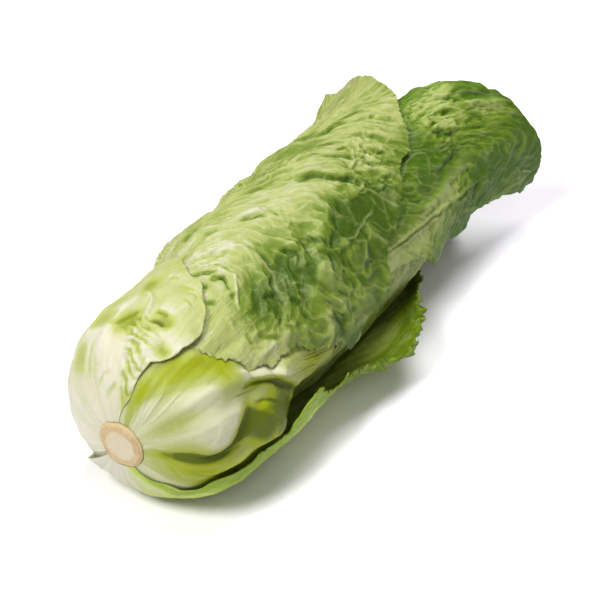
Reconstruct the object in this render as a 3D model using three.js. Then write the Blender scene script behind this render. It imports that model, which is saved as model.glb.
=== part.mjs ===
// A head of sugarloaf chicory, cut at the stem and lying on its side, in millimetres with +Z up.
//
// The head lies along X: the cut stem faces -X and the leaf tips point to +X. Each leaf is a thin closed
// shell that starts on the core and wraps part of the way round the head. A place on the head is given by
// its distance along the axis from the cut, and by its angle round the axis: 0 on top, 90 on the -Y side,
// 180 underneath.

import * as THREE from "three";
import { mergeVertices } from "three/addons/utils/BufferGeometryUtils.js";

// The head as a whole.
const HEAD_RADIUS = 48; // at the shoulder, where the rounded base ends
const SHOULDER = 42; // distance of the shoulder from the cut
const BODY_END = 330; // where the taper of the body would end
const BELLY = 0.06; // how much fuller the middle is than the shoulder, as a share of the radius
const TAPER = 0.12; // how much slimmer the far end is
const BASE_POWER = 2.2; // squareness of the rounded base, 2 being an ellipse
const AXIS_HEIGHT = 45; // less than the radius: the head's own weight flattens its underside
const POLE_SHARE = 0.6; // layers lie this much closer together round the stem
const PRESSED_SHARE = 0.7; // layers lie this much closer together where they are pressed flat underneath

// The stem and the core that the leaves grow from, as distance from the cut and radius.
const CORE = [
  [0, 11.2],
  [0.8, 12],
  [5, 13.4],
  [13, 14],
  [26, 12],
  [42, 8],
  [56, 3.2],
];
const CORE_END = 60;
const CORE_SIDES = 28;

// The leaves' packing.
const LEAF_THICKNESS = 0.9;
const LAYER_PITCH = 1.9; // from one outer leaf to the next one in
const HEART_PITCH = 2.9; // from one heart leaf to the next one in
const TOUCHING_GAP = 0.4; // between a leaf's foot and the core
const OUTER_LAYERS = 6;

// How finely the shells are divided.
const ROW_STEP = 0.15;
const TIP_ROWS = [0.1, 0.04, 0]; // stations before the tip
const BODY_UNIT = 150; // length of the body that counts as much as the whole rounded base
const COLUMN_STEP = 15; // degrees
const HEART_COLUMN_STEP = 21;

// The way the heart closes towards the leaf tips.
const CLOSING_START = 190;
const CLOSING_LENGTH = 85;
const CLOSING_MOST = 0.85;
const CLOSING_FREE_DEPTH = 6;
const CLOSING_FULL_DEPTH = 20;

// The share of a leaf's half width, from its margin inwards, over which a margin curls away from the head.
const CURL_SHARE = 0.7;

// Inner leaves stand this much nearer the surface past the shoulder, where the short outer leaves end.
const SETTLE = [
  [82, 0],
  [106, 4.4],
];

const WHITE_RIB = 0xe6e4cd;
const PALE_GREEN = 0xb9c97e;
const MID_GREEN = 0x93ab52;
const DEEP_GREEN = 0x5f8020;
const HEART_YELLOW = 0xdfe0a4;
const STEM_CREAM = 0xdccfa9;

// The outer leaves, outermost first. Each margin lists distance along the head and angle round it. Where
// the margin or the whole leaf stands away from the head, a list of distance and lift goes with it.
const OUTER_LEAVES = [
  {
    name: "wrapper_leaf",
    layer: 0,
    color: DEEP_GREEN,
    from: [
      [0, 150], [7, 132], [14, 122], [20, 111], [31, 107], [51, 105], [59, 100], [65, 94],
      [78, 94], [90, 103], [106, 107], [143, 108], [159, 105], [176, 107], [194, 116], [214, 130],
      [232, 152],
    ],
    to: [
      [0, 222], [8, 226], [24, 222], [60, 236], [120, 245], [180, 238], [210, 224], [232, 200],
    ],
    fromLift: [
      [4, 0.3], [20, 2], [44, 4.6], [57, 6], [75, 7], [104, 6], [126, 11], [143, 19], [158, 15],
      [175, 5], [192, 0],
    ],
    toLift: [
      [2, 0], [8, 3], [20, 0], [110, 3], [180, 4], [215, 1],
    ],
  },
  {
    name: "left_base_leaf",
    layer: 1,
    color: WHITE_RIB,
    from: [
      [0, -134], [12, -138], [24, -131], [44, -124], [56, -118], [66, -106], [81, -68],
    ],
    to: [
      [0, -8], [4, 6], [14, 10], [23, 20], [38, 23], [46, 20], [57, 9], [64, -5], [72, -14], [81, -27],
    ],
    lift: [
      [6, 0], [20, 1.6], [60, 1.6], [81, 1],
    ],
    toLift: [
      [10, 0], [26, 1.5], [45, 3], [81, 4],
    ],
  },
  {
    name: "crown_leaf",
    layer: 2,
    color: PALE_GREEN,
    from: [
      [0, -66], [40, -84], [80, -95], [150, -100], [222, -97], [250, -90], [266, -82], [275, -70],
    ],
    to: [
      [0, -14], [24, 6], [34, 27], [45, 48], [59, 66], [78, 67], [88, 75], [103, 82], [113, 91],
      [128, 87], [151, 82], [160, 63], [184, 50], [193, 44], [202, 35], [216, 30], [235, 14], [250, 0],
      [258, -15], [267, -32], [275, -52],
    ],
    lift: [
      [82, 0], [100, 3.6], [242, 3.6], [262, 8], [275, 11],
    ],
    fromLift: [
      [228, 0], [246, 3.5], [262, 5.5], [275, 5],
    ],
    toLift: [
      [24, 0], [36, 2], [60, 2.5], [80, 2], [150, 2], [165, 0.5],
    ],
  },
  {
    name: "right_base_leaf",
    layer: 3,
    color: WHITE_RIB,
    from: [
      [0, -22], [26, -4], [60, 10], [100, 20], [124, 28],
    ],
    to: [
      [0, 150], [10, 148], [18, 141], [30, 129], [42, 120], [50, 115], [57, 106], [63, 93], [69, 86],
      [84, 89], [100, 88], [124, 74],
    ],
    lift: [
      [82, 0], [100, 2.2],
    ],
    toLift: [
      [4, 2], [16, 3.2], [40, 3.6], [52, 4], [62, 1.2], [70, 0],
    ],
    crown: [
      [3, 3.4], [12, 3], [24, 0],
    ],
  },
  {
    name: "back_leaf",
    layer: 3,
    color: MID_GREEN,
    from: [
      [0, -176], [40, -202], [120, -208], [220, -196], [268, -172], [292, -140],
    ],
    to: [
      [0, -66], [40, -52], [150, -55], [240, -62], [276, -84], [292, -112],
    ],
    lift: [
      [82, 0], [100, 3],
    ],
  },
  {
    name: "right_leaf",
    layer: 4,
    color: DEEP_GREEN,
    from: [
      [0, 22], [60, 2], [120, -14], [200, -12], [240, -10], [249, -3], [262, 7], [275, 20],
      [288, 37], [298, 59], [305, 80], [308, 90],
    ],
    to: [
      [0, 100], [60, 110], [92, 98], [128, 86], [150, 81], [173, 83], [196, 92], [214, 96],
      [228, 103], [236, 108], [252, 101], [266, 102], [290, 107], [300, 109], [308, 109],
    ],
    lift: [
      [82, 0], [100, 2.2], [126, 2.2], [150, 4.8], [250, 4.8], [264, 9.6], [282, 15.5], [308, 25],
    ],
    toLift: [
      [228, 0], [262, 3], [290, 4], [308, 1],
    ],
  },
  {
    name: "under_leaf",
    layer: 5,
    color: MID_GREEN,
    from: [
      [0, 120], [60, 114], [92, 104], [128, 93], [150, 84], [200, 82], [240, 96], [262, 116], [284, 146],
    ],
    to: [
      [0, 204], [60, 222], [200, 220], [258, 208], [284, 176],
    ],
    lift: SETTLE,
  },
  {
    name: "back_inner_leaf",
    layer: 5,
    color: PALE_GREEN,
    from: [
      [0, -110], [60, -128], [200, -130], [252, -118], [280, -84],
    ],
    to: [
      [0, -34], [60, -18], [200, -18], [252, -28], [280, -56],
    ],
    lift: SETTLE,
  },
];

// The heart leaves repeat, each smaller than the last and turned by the golden angle.
const HEART_COUNT = 10;
const GOLDEN_ANGLE = 137.508;
const HEART_FIRST_ANGLE = 62;
const HEART_HALF_WIDTH = 104;
const HEART_TIP = 274;
const HEART_TIP_STEP = 3.6;
const HEART_NECK = 0.55; // width at the foot, as a share of the full width

const FOOT_SEARCH_STEPS = 40;

const radians = THREE.MathUtils.degToRad;

/** The value of a list of [distance, value] at one distance, straight between its entries. */
function stationValue(stations, at) {
  if (!stations) return 0;
  const after = stations.findIndex(([distance]) => distance > at);
  if (after === 0) return stations[0][1];
  if (after === -1) return stations[stations.length - 1][1];
  const [near, far] = [stations[after - 1], stations[after]];
  return THREE.MathUtils.mapLinear(at, near[0], far[0], near[1], far[1]);
}

/** The radius of the head past its shoulder, before any depth is taken off. */
function bodyRadius(distance) {
  const along = THREE.MathUtils.clamp((distance - SHOULDER) / (BODY_END - SHOULDER), 0, 1);
  const belly = BELLY * Math.sin(Math.PI * Math.min(along / 0.9, 1));
  return HEAD_RADIUS * (1 + belly - TAPER * along * along);
}

/** How much of its radius a leaf keeps where the heart closes towards its tips. */
function closing(distance, depth) {
  const along = THREE.MathUtils.smoothstep(distance, CLOSING_START, CLOSING_START + CLOSING_LENGTH);
  const share = (depth - CLOSING_FREE_DEPTH) / CLOSING_FULL_DEPTH;
  return 1 - CLOSING_MOST * along * THREE.MathUtils.clamp(share, 0, 1);
}

/**
 * The profile of a layer: distance along the axis and radius.
 * `station` runs from 0 at the pole to 1 at the shoulder, and on by one for each BODY_UNIT of the body.
 */
function profile(station, depth) {
  if (station > 1) {
    const distance = SHOULDER + (station - 1) * BODY_UNIT;
    const radius = Math.max(bodyRadius(distance) - depth, 0);
    return { distance, radius: radius * closing(distance, depth) };
  }
  const turn = (station * Math.PI) / 2;
  const power = 2 / BASE_POWER;
  return {
    distance: SHOULDER - (SHOULDER - depth * POLE_SHARE) * Math.cos(turn) ** power,
    radius: (HEAD_RADIUS - depth) * Math.sin(turn) ** power,
  };
}

/** The station whose profile, with no depth, reaches a distance along the axis. */
function stationOf(distance) {
  if (distance > SHOULDER) return 1 + (distance - SHOULDER) / BODY_UNIT;
  return (Math.acos((1 - distance / SHOULDER) ** (BASE_POWER / 2)) * 2) / Math.PI;
}

/** How far a leaf stands away from its layer, at a distance and a place across it from -1 to 1. */
function liftAt(leaf, distance, across) {
  const edge = THREE.MathUtils.clamp((Math.abs(across) - 1 + CURL_SHARE) / CURL_SHARE, 0, 1) ** 2;
  const margin = across < 0 ? leaf.fromLift : leaf.toLift;
  const crown = stationValue(leaf.crown, distance) * (1 - across * across) ** 2;
  return stationValue(leaf.lift, distance) + crown + stationValue(margin, distance) * edge;
}

/** One point of a leaf's shell; the outer side has `inset` 0, and the inner side the leaf's thickness. */
function leafPoint(leaf, station, across, inset) {
  const { distance: along } = profile(station, 0);
  const outerDepth = leaf.depth - liftAt(leaf, along, across);
  const { distance, radius } = profile(station, outerDepth + inset);
  const from = stationValue(leaf.from, along);
  const to = stationValue(leaf.to, along);
  const angle = radians(THREE.MathUtils.mapLinear(across, -1, 1, from, to));
  const height = AXIS_HEIGHT + radius * Math.cos(angle);
  const floor = (Math.max(outerDepth, 0) + inset) * PRESSED_SHARE;
  return new THREE.Vector3(distance, -radius * Math.sin(angle), Math.max(height, floor));
}

/** The first station at which both sides of a leaf are clear of the core. */
function footStation(leaf, across) {
  let [inside, outside] = [0, 1];
  for (let step = 0; step < FOOT_SEARCH_STEPS; step += 1) {
    const middle = (inside + outside) / 2;
    const clear = [0, LEAF_THICKNESS].every((inset) => {
      const { distance: along } = profile(middle, 0);
      const { distance, radius } = profile(middle, leaf.depth - liftAt(leaf, along, across) + inset);
      return distance > CORE_END || radius > stationValue(CORE, distance) + TOUCHING_GAP;
    });
    if (clear) outside = middle;
    else inside = middle;
  }
  return outside;
}

/** The stations of a leaf's rows: its foot, the whole steps past it, and closer ones that round its tip. */
function rowStations(foot, tip) {
  const stations = [foot];
  let next = Math.ceil(foot / ROW_STEP + 0.5) * ROW_STEP;
  while (next < tip - ROW_STEP) {
    stations.push(next);
    next += ROW_STEP;
  }
  TIP_ROWS.forEach((before) => stations.push(tip - before));
  return stations;
}

/** A closed shell of one leaf: an outer and an inner sheet, joined all the way round their rims. */
function leafGeometry(leaf) {
  const tipDistance = leaf.from[leaf.from.length - 1][0];
  const tip = stationOf(tipDistance);
  const widths = leaf.from.map(([distance, angle]) => stationValue(leaf.to, distance) - angle);
  const columns = Math.ceil(Math.max(...widths) / leaf.columnStep);
  const rows = rowStations(footStation(leaf, 0), tip).length;

  const positions = [];
  for (const inset of [0, LEAF_THICKNESS]) {
    for (let column = 0; column <= columns; column += 1) {
      const across = -1 + (2 * column) / columns;
      const foot = footStation(leaf, across);
      const stations = rowStations(footStation(leaf, 0), tip);
      stations[0] = foot;
      stations.forEach((station) => positions.push(...leafPoint(leaf, station, across, inset).toArray()));
    }
  }

  const indices = [];
  const inner = (columns + 1) * rows;
  const at = (column, row) => column * rows + row;
  const quad = (a, b, c, d) => indices.push(a, b, c, a, c, d);
  for (let column = 0; column < columns; column += 1) {
    for (let row = 0; row < rows - 1; row += 1) {
      const [a, b] = [at(column, row), at(column + 1, row)];
      const [c, d] = [at(column + 1, row + 1), at(column, row + 1)];
      quad(a, b, c, d);
      quad(inner + a, inner + d, inner + c, inner + b);
    }
    const [foot, footNext] = [at(column, 0), at(column + 1, 0)];
    const [end, endNext] = [at(column, rows - 1), at(column + 1, rows - 1)];
    quad(foot, inner + foot, inner + footNext, footNext);
    quad(end, endNext, inner + endNext, inner + end);
  }
  for (let row = 0; row < rows - 1; row += 1) {
    const [first, firstNext] = [at(0, row), at(0, row + 1)];
    const [last, lastNext] = [at(columns, row), at(columns, row + 1)];
    quad(first, firstNext, inner + firstNext, inner + first);
    quad(last, inner + last, inner + lastNext, lastNext);
  }

  const geometry = new THREE.BufferGeometry();
  geometry.setAttribute("position", new THREE.Float32BufferAttribute(positions, 3));
  geometry.setIndex(indices);
  geometry.computeVertexNormals();
  return geometry;
}

/** The stem and core: a turned solid from the flat cut to a blunt point inside the heart. */
function coreGeometry() {
  const outline = [[0, 0], ...CORE, [CORE_END, 0]].map(([distance, radius], place) => {
    // The first entry is the middle of the cut face, the others are distance and radius.
    return place === 0 ? new THREE.Vector2(0, 0) : new THREE.Vector2(radius, distance);
  });
  const lathe = new THREE.LatheGeometry(outline, CORE_SIDES);
  lathe.deleteAttribute("normal");
  lathe.deleteAttribute("uv");
  const geometry = mergeVertices(lathe, 1e-4);
  geometry.rotateZ(-Math.PI / 2);
  geometry.translate(0, 0, AXIS_HEIGHT);
  geometry.computeVertexNormals();
  return geometry;
}

/** A soft, slightly waxy plant surface. */
function plantMaterial(color, roughness) {
  return new THREE.MeshStandardMaterial({ color, roughness, metalness: 0 });
}

/** One leaf as a named mesh. */
function leafMesh(leaf) {
  const mesh = new THREE.Mesh(leafGeometry(leaf), plantMaterial(leaf.color, 0.5));
  mesh.name = leaf.name;
  return mesh;
}

/** The leaf of the heart that comes at one place in the spiral, counted from outside. */
function heartLeaf(place) {
  const middle = (HEART_FIRST_ANGLE + GOLDEN_ANGLE * place) % 360;
  const tip = HEART_TIP - HEART_TIP_STEP * place;
  const margin = (side) => [
    [0, middle + side * HEART_HALF_WIDTH * HEART_NECK],
    [60, middle + side * HEART_HALF_WIDTH],
    [tip - 70, middle + side * HEART_HALF_WIDTH],
    [tip - 22, middle + side * HEART_HALF_WIDTH * 0.8],
    [tip, middle + side * HEART_HALF_WIDTH * 0.3],
  ];
  return {
    name: `heart_leaf_${String(place + 1).padStart(2, "0")}`,
    depth: OUTER_LAYERS * LAYER_PITCH + place * HEART_PITCH,
    color: HEART_YELLOW,
    from: margin(-1),
    to: margin(1),
    lift: SETTLE,
    columnStep: HEART_COLUMN_STEP,
  };
}

const head = new THREE.Group();

const core = new THREE.Mesh(coreGeometry(), plantMaterial(STEM_CREAM, 0.7));
core.name = "stem_core";
head.add(core);

OUTER_LEAVES.forEach((leaf) => {
  const depth = leaf.layer * LAYER_PITCH;
  head.add(leafMesh({ ...leaf, depth, columnStep: COLUMN_STEP }));
});

for (let place = 0; place < HEART_COUNT; place += 1) {
  head.add(leafMesh(heartLeaf(place)));
}

// The origin is the middle of the head's box, on the surface that it lies on.
const box = new THREE.Box3().setFromObject(head);
const middle = box.getCenter(new THREE.Vector3());
head.position.set(-middle.x, -middle.y, -box.min.z);

export default head;
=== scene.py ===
"""A head of sugarloaf chicory, cut at the stem and lying on its side, with its crinkled leaves modelled one by one.

Every place on the head is given by its distance along the axis from the cut, in millimetres, and by its turn round
the axis in degrees: 0 on top, 90 on the -Y side, 180 underneath and -90 on the +Y side.
"""

import logging
import math
from dataclasses import dataclass, field
from enum import Enum

import bpy
import numpy as np
from mathutils import Matrix, Vector


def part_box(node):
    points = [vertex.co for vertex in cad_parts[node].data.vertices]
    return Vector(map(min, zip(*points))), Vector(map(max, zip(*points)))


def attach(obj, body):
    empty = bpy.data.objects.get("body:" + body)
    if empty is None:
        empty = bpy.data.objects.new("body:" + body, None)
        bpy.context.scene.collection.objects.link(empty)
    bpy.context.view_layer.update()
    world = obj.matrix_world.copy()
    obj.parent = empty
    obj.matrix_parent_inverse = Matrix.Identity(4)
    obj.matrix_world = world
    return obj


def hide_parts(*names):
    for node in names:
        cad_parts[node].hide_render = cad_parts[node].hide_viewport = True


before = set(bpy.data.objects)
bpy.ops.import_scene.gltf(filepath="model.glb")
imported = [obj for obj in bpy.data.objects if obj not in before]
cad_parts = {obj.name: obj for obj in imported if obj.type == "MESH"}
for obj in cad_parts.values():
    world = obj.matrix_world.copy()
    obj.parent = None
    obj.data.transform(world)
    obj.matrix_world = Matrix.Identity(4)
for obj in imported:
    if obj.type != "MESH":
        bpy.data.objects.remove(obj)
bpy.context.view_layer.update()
STEM_LOW, STEM_HIGH = (np.array(corner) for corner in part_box("stem_core"))
STEM_MIDDLE = (STEM_LOW + STEM_HIGH) / 2.0

log = logging.getLogger("chicory")

Array = np.ndarray
Stations = tuple[tuple[float, float], ...]
Place = tuple[float, float, float]
Colour = tuple[float, float, float]
Piece = bpy.types.Object
Node = bpy.types.Node
Socket = bpy.types.NodeSocket

BODY = "root"
METRES = 0.001  # one millimetre
HEAD_RADIUS = 48.0
MM_PER_DEGREE = HEAD_RADIUS * math.pi / 180.0
MARGIN_WIDTH = 5.0  # a leaf thins out over this width
RIM_SHARE = 0.4  # and this share of it is left at its rim
MOST_TEETH = 400  # along one margin
TOOTH_HALF = 1.4  # half a tooth's width
TOOTH_ROOT = 2.6  # how far a margin's teeth reach into the leaf
CREST_MEAN = 0.4  # the mean height of crests
COVERED_SINK = 0.35  # how far a leaf gives way under the leaves over it


class Slot(Enum):
    """The record's material slots."""

    CUT_STEM = "cut_stem"
    WHITE_RIB = "white_rib_leaf"
    LIGHT_GREEN = "light_green_leaf"
    DEEP_GREEN = "deep_green_leaf"
    HEART = "heart_leaf"


def smoothstep(value: Array, low: float, high: float) -> Array:
    """A soft ramp that leaves 0 where value passes low and reaches 1 at high."""
    share = np.clip((value - low) / (high - low), 0.0, 1.0)
    return share * share * (3.0 - 2.0 * share)


def flowing(stations: Stations, at: Array) -> Array:
    """A smooth curve through pairs of distance and value that doesn't overshoot them.

    Args:
        stations: the pairs, in order of distance.
        at: the distances to read the curve at.

    Returns:
        The curve's values, in the shape of at.
    """
    place, value = np.array(stations, dtype=float).T
    if len(place) == 1:
        return np.full_like(at, value[0], dtype=float)
    step = np.diff(place)
    slope = np.diff(value) / step
    tangent = np.zeros_like(value)
    tangent[0], tangent[-1] = slope[0], slope[-1]
    before, after = slope[:-1], slope[1:]
    turning = before * after <= 0.0
    weight_a = 2.0 * step[1:] + step[:-1]
    weight_b = step[1:] + 2.0 * step[:-1]
    mean = (weight_a + weight_b) / (
        weight_a / np.where(turning, 1.0, before) + weight_b / np.where(turning, 1.0, after)
    )
    tangent[1:-1] = np.where(turning, 0.0, mean)
    inside = np.clip(at, place[0], place[-1])
    index = np.clip(np.searchsorted(place, inside, side="right") - 1, 0, len(step) - 1)
    share = (inside - place[index]) / step[index]
    square, cube = share**2, share**3
    return (
        (2.0 * cube - 3.0 * square + 1.0) * value[index]
        + (cube - 2.0 * square + share) * step[index] * tangent[index]
        + (3.0 * square - 2.0 * cube) * value[index + 1]
        + (cube - square) * step[index] * tangent[index + 1]
    )


def towards_rim(edge: Array) -> Array:
    """The share of a leaf's relief and thickness that is left as it thins out towards its margin."""
    return RIM_SHARE + (1.0 - RIM_SHARE) * smoothstep(edge, 0.0, MARGIN_WIDTH)


class Noise:
    """Seeded wrinkle patterns on a plane, the same on each run.

    A number added to a coordinate picks another part of the plane, so that two patterns don't run alike.
    """

    size = 256

    def __init__(self, seed: int) -> None:
        """Draws the pattern's slopes and cell seats.

        Args:
            seed: the number that fixes the pattern.
        """
        draw = np.random.default_rng(seed)
        turn = draw.random((self.size, self.size)) * 2.0 * math.pi
        self.slope_a, self.slope_b = np.cos(turn), np.sin(turn)
        self.seat_a, self.seat_b = draw.random((2, self.size, self.size))

    def soft(self, a: Array, b: Array) -> Array:
        """Rolling noise from about -1 to 1.

        Args:
            a: the first coordinate, one roll being about one unit.
            b: the second coordinate.

        Returns:
            The noise, in the shape of a.
        """
        whole_a, whole_b = np.floor(a).astype(int), np.floor(b).astype(int)
        part_a, part_b = a - whole_a, b - whole_b
        ease_a = part_a**3 * (part_a * (part_a * 6.0 - 15.0) + 10.0)
        ease_b = part_b**3 * (part_b * (part_b * 6.0 - 15.0) + 10.0)
        total = np.zeros_like(a, dtype=float)
        for side_a in (0, 1):
            for side_b in (0, 1):
                key = (whole_a + side_a) % self.size, (whole_b + side_b) % self.size
                ramp = self.slope_a[key] * (part_a - side_a) + self.slope_b[key] * (part_b - side_b)
                share_a = ease_a if side_a else 1.0 - ease_a
                share_b = ease_b if side_b else 1.0 - ease_b
                total += share_a * share_b * ramp
        return 1.6 * total

    def layered(self, a: Array, b: Array, layers: int = 3) -> Array:
        """Rolling noise with finer noise on it, each layer half as wide and half as high.

        Args:
            a: the first coordinate.
            b: the second coordinate.
            layers: how many sizes of roll there are.

        Returns:
            The noise, in the shape of a.
        """
        total = np.zeros_like(a, dtype=float)
        for layer in range(layers):
            scale = 2.0**layer
            total += self.soft(a * scale + 17.3 * layer, b * scale - 9.1 * layer) / scale
        return total

    def border(self, a: Array, b: Array) -> Array:
        """How far a place is from the border of its cell, in a net of irregular cells one unit wide.

        Args:
            a: the first coordinate.
            b: the second coordinate.

        Returns:
            The distance, 0 on the border, in the shape of a.
        """
        whole_a, whole_b = np.floor(a).astype(int), np.floor(b).astype(int)
        nearest = np.full_like(a, 9.0, dtype=float)
        second = np.full_like(a, 9.0, dtype=float)
        for side_a in (-1, 0, 1):
            for side_b in (-1, 0, 1):
                cell_a, cell_b = whole_a + side_a, whole_b + side_b
                key = cell_a % self.size, cell_b % self.size
                far = np.hypot(cell_a + self.seat_a[key] - a, cell_b + self.seat_b[key] - b)
                second = np.minimum(second, np.maximum(nearest, far))
                nearest = np.minimum(nearest, far)
        return second - nearest


def crests(noise: Noise, a: Array, b: Array) -> Array:
    """1 on thin crest lines across a and drawn out along b, and near 0 in the wide valleys between them."""
    return np.clip(1.0 - 1.25 * np.abs(noise.soft(a, b)), 0.0, 1.0) ** 2.4


def lowest_near(values: Array, reach: int) -> Array:
    """The least value near each place of a grid.

    Args:
        values: the grid.
        reach: how many rows and columns away still count as near.

    Returns:
        The least values, in the shape of the grid.
    """
    for axis in (0, 1):
        widths = [(reach, reach) if axis == other else (0, 0) for other in (0, 1)]
        wide = np.pad(values, widths, mode="edge")
        count = values.shape[axis]
        shifts = [wide.take(range(shift, shift + count), axis=axis) for shift in range(2 * reach + 1)]
        values = np.minimum.reduce(shifts)
    return values


@dataclass(frozen=True)
class HeadShape:
    """The closed head that all leaves are packed in, and where it lies in the frame."""

    radius: float = HEAD_RADIUS
    shoulder: float = 42.0
    body_end: float = 330.0
    belly: float = 0.06
    taper: float = 0.12
    base_power: float = 2.2
    axis_height: float = 45.0
    pole_share: float = 0.6
    pressed_share: float = 0.7
    closing_start: float = 190.0
    closing_length: float = 85.0
    closing_most: float = 0.85
    closing_free_depth: float = 6.0
    closing_full_depth: float = 20.0

    def body_radius(self, distance: Array) -> Array:
        """The radius past the shoulder.

        Args:
            distance: distance from the cut.

        Returns:
            The radius, before any depth is taken off.
        """
        along = np.clip((distance - self.shoulder) / (self.body_end - self.shoulder), 0.0, 1.0)
        belly = self.belly * np.sin(math.pi * np.minimum(along / 0.9, 1.0))
        return self.radius * (1.0 + belly - self.taper * along**2)

    def profile(self, distance: Array, depth: Array) -> tuple[Array, Array]:
        """Where a layer under the surface runs.

        Args:
            distance: distance from the cut of the surface point above.
            depth: how far the layer lies below the surface, negative outside it.

        Returns:
            The layer's own distance from the cut, and its radius.
        """
        radius = np.maximum(self.body_radius(distance) - depth, 0.0)
        along = smoothstep(distance, self.closing_start, self.closing_start + self.closing_length)
        share = np.clip((depth - self.closing_free_depth) / self.closing_full_depth, 0.0, 1.0)
        radius = radius * (1.0 - self.closing_most * along * share)
        left = np.clip(1.0 - distance / self.shoulder, 0.0, 1.0)
        cosine = left ** (self.base_power / 2.0)
        sine = np.sqrt(np.clip(1.0 - cosine**2, 0.0, 1.0))
        base_radius = (self.radius - depth) * sine ** (2.0 / self.base_power)
        base_distance = self.shoulder - (self.shoulder - depth * self.pole_share) * left
        rounded = distance < self.shoulder
        return np.where(rounded, base_distance, distance), np.where(rounded, base_radius, radius)

    def place(self, distance: Array, turn: Array, depth: Array, floor: Array) -> Array:
        """Points of a layer in the frame.

        Args:
            distance: distance from the cut of the surface point above.
            turn: degrees round the axis.
            depth: how far the points lie below the surface.
            floor: the least height above what the head rests on.

        Returns:
            An array of points in metres, with x, y and z last.
        """
        along, radius = self.profile(distance, depth)
        angle = np.radians(turn)
        height = np.maximum(self.axis_height + radius * np.cos(angle), floor)
        x, y = STEM_LOW[0] + along * METRES, STEM_MIDDLE[1] - radius * np.sin(angle) * METRES
        return np.stack([x, y, height * METRES], axis=-1)


HEAD = HeadShape()


@dataclass(frozen=True)
class Fold:
    """A line raised on a leaf, or pressed into it where height is negative: a rib, a vein, a wrinkle or a crease.

    The line is pairs of distance and turn. Width and height are in millimetres, and shade is the tint that it adds.
    Lip is how deep the valleys beside a raised line are, and vein is how much of a vein's colour the line has.
    """

    line: Stations
    width: float
    height: float
    shade: float = 0.0
    lip: float = 0.3
    vein: float = 0.0
    depth_share: float = 0.55
    end_share: float = 0.28

    def press(self, ground: "Ground") -> tuple[Array, Array, Array]:
        """The fold's mark on a leaf.

        Args:
            ground: the leaf's vertices.

        Returns:
            The height that it adds, the tint that it adds, and how much of a vein it is.
        """
        points = np.array(self.line, dtype=float)
        points[:, 1] *= MM_PER_DEGREE
        points = rounded_line(points)
        reach = 4.0 * self.width + 1.0
        a, b = ground.wander_a, ground.wander_b
        near = (
            (a > points[:, 0].min() - reach)
            & (a < points[:, 0].max() + reach)
            & (b > points[:, 1].min() - reach)
            & (b < points[:, 1].max() + reach)
        )
        height, tint, vein = (np.zeros_like(a) for _ in range(3))
        if not near.any():
            return height, tint, vein
        gap, along, past = line_distance(a[near], b[near], points)
        fade = smoothstep(np.minimum(along, 1.0 - along), 0.0, self.end_share)
        width = 0.6 * self.width
        core = np.exp(-((gap / width) ** 2))
        if self.height < 0.0:
            raised = 0.5 - 0.5 * np.tanh(past / (0.6 * width))
            bank = raised * np.exp(-gap / (3.2 * width))
            height[near] = self.height * self.depth_share * fade * (core - 0.75 * bank)
            # A crease is painted greener, partly its own greener tissue and partly painted shade, and its raised bank
            # on the side towards the light is painted paler, as painted light.
            tint[near] = fade * (self.shade * np.exp(-((np.maximum(gap, 0.0) / (1.5 * width)) ** 2)) - 0.2 * bank)
        else:
            lip = np.exp(-(((gap - 2.2 * width) / (1.3 * width)) ** 2))
            height[near] = self.height * fade * (core - self.lip * lip)
            tint[near] = fade * self.shade * np.exp(-((gap / (1.2 * width)) ** 2))
        vein[near] = self.vein * core * fade
        return height, tint, vein


@dataclass(frozen=True)
class Boss:
    """A soft swelling or hollow of a leaf, or a patch of another tint or of stronger crinkles.

    Distance and turn are its middle, and length and width its half sizes in millimetres.
    """

    distance: float
    turn: float
    length: float
    width: float
    height: float = 0.0
    shade: float = 0.0
    crinkle: float = 0.0

    def mask(self, ground: "Ground") -> Array:
        """1 in the middle of the swelling and 0 well outside it.

        Args:
            ground: the leaf's vertices.

        Returns:
            The mask at each vertex.
        """
        a = (ground.wander_a - self.distance) / self.length
        b = (ground.wander_b - self.turn * MM_PER_DEGREE) / self.width
        return np.exp(-((a * a + b * b) ** 1.3))


# Broad hollows in the head itself, which press into every leaf.
HEAD_HOLLOWS = (
    Boss(130, -58, 13, 30, -3.4), Boss(165, -58, 11, 30, -3.2), Boss(204, -58, 16, 28, -2.4),
    Boss(234, -55, 14, 26, -2.2), Boss(96, 62, 16, 14, -1.6), Boss(150, 58, 24, 12, -1.2),
)


def rounded_line(points: Array, cuts: int = 2) -> Array:
    """Cuts the corners off a line of points.

    Args:
        points: the line's points, one a row.
        cuts: how many times the corners are cut.

    Returns:
        A finer line with the same ends.
    """
    for _ in range(cuts if len(points) > 2 else 0):
        early = points[:-1] * 0.75 + points[1:] * 0.25
        late = points[:-1] * 0.25 + points[1:] * 0.75
        middle = np.stack([early, late], axis=1).reshape(-1, 2)
        points = np.vstack([points[:1], middle[1:-1], points[-1:]])
    return points


def line_distance(a: Array, b: Array, points: Array) -> tuple[Array, Array, Array]:
    """How far places are from a line, how far along it their nearest point is, and how far they lie past it.

    Args:
        a: the places' first coordinates.
        b: the places' second coordinates.
        points: the line's points, one a row.

    Returns:
        The distances, the shares of the line's length from 0 to 1, and the signed distances past the line, on the
        side that faces down and towards the cut.
    """
    lengths = np.hypot(*np.diff(points, axis=0).T)
    starts = np.concatenate([[0.0], np.cumsum(lengths)])
    best = np.full_like(a, 1e9)
    along, past = np.zeros_like(a), np.zeros_like(a)
    for index, length in enumerate(lengths):
        start, end = points[index], points[index + 1]
        side = (end - start) / max(length, 1e-6)
        share = np.clip((a - start[0]) * side[0] + (b - start[1]) * side[1], 0.0, length)
        off_a, off_b = a - start[0] - share * side[0], b - start[1] - share * side[1]
        gap = np.hypot(off_a, off_b)
        closer = gap < best
        best = np.where(closer, gap, best)
        along = np.where(closer, (starts[index] + share) / starts[-1], along)
        past = np.where(closer, 0.9 * off_b - 0.45 * off_a, past)
    return best, along, past


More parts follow.
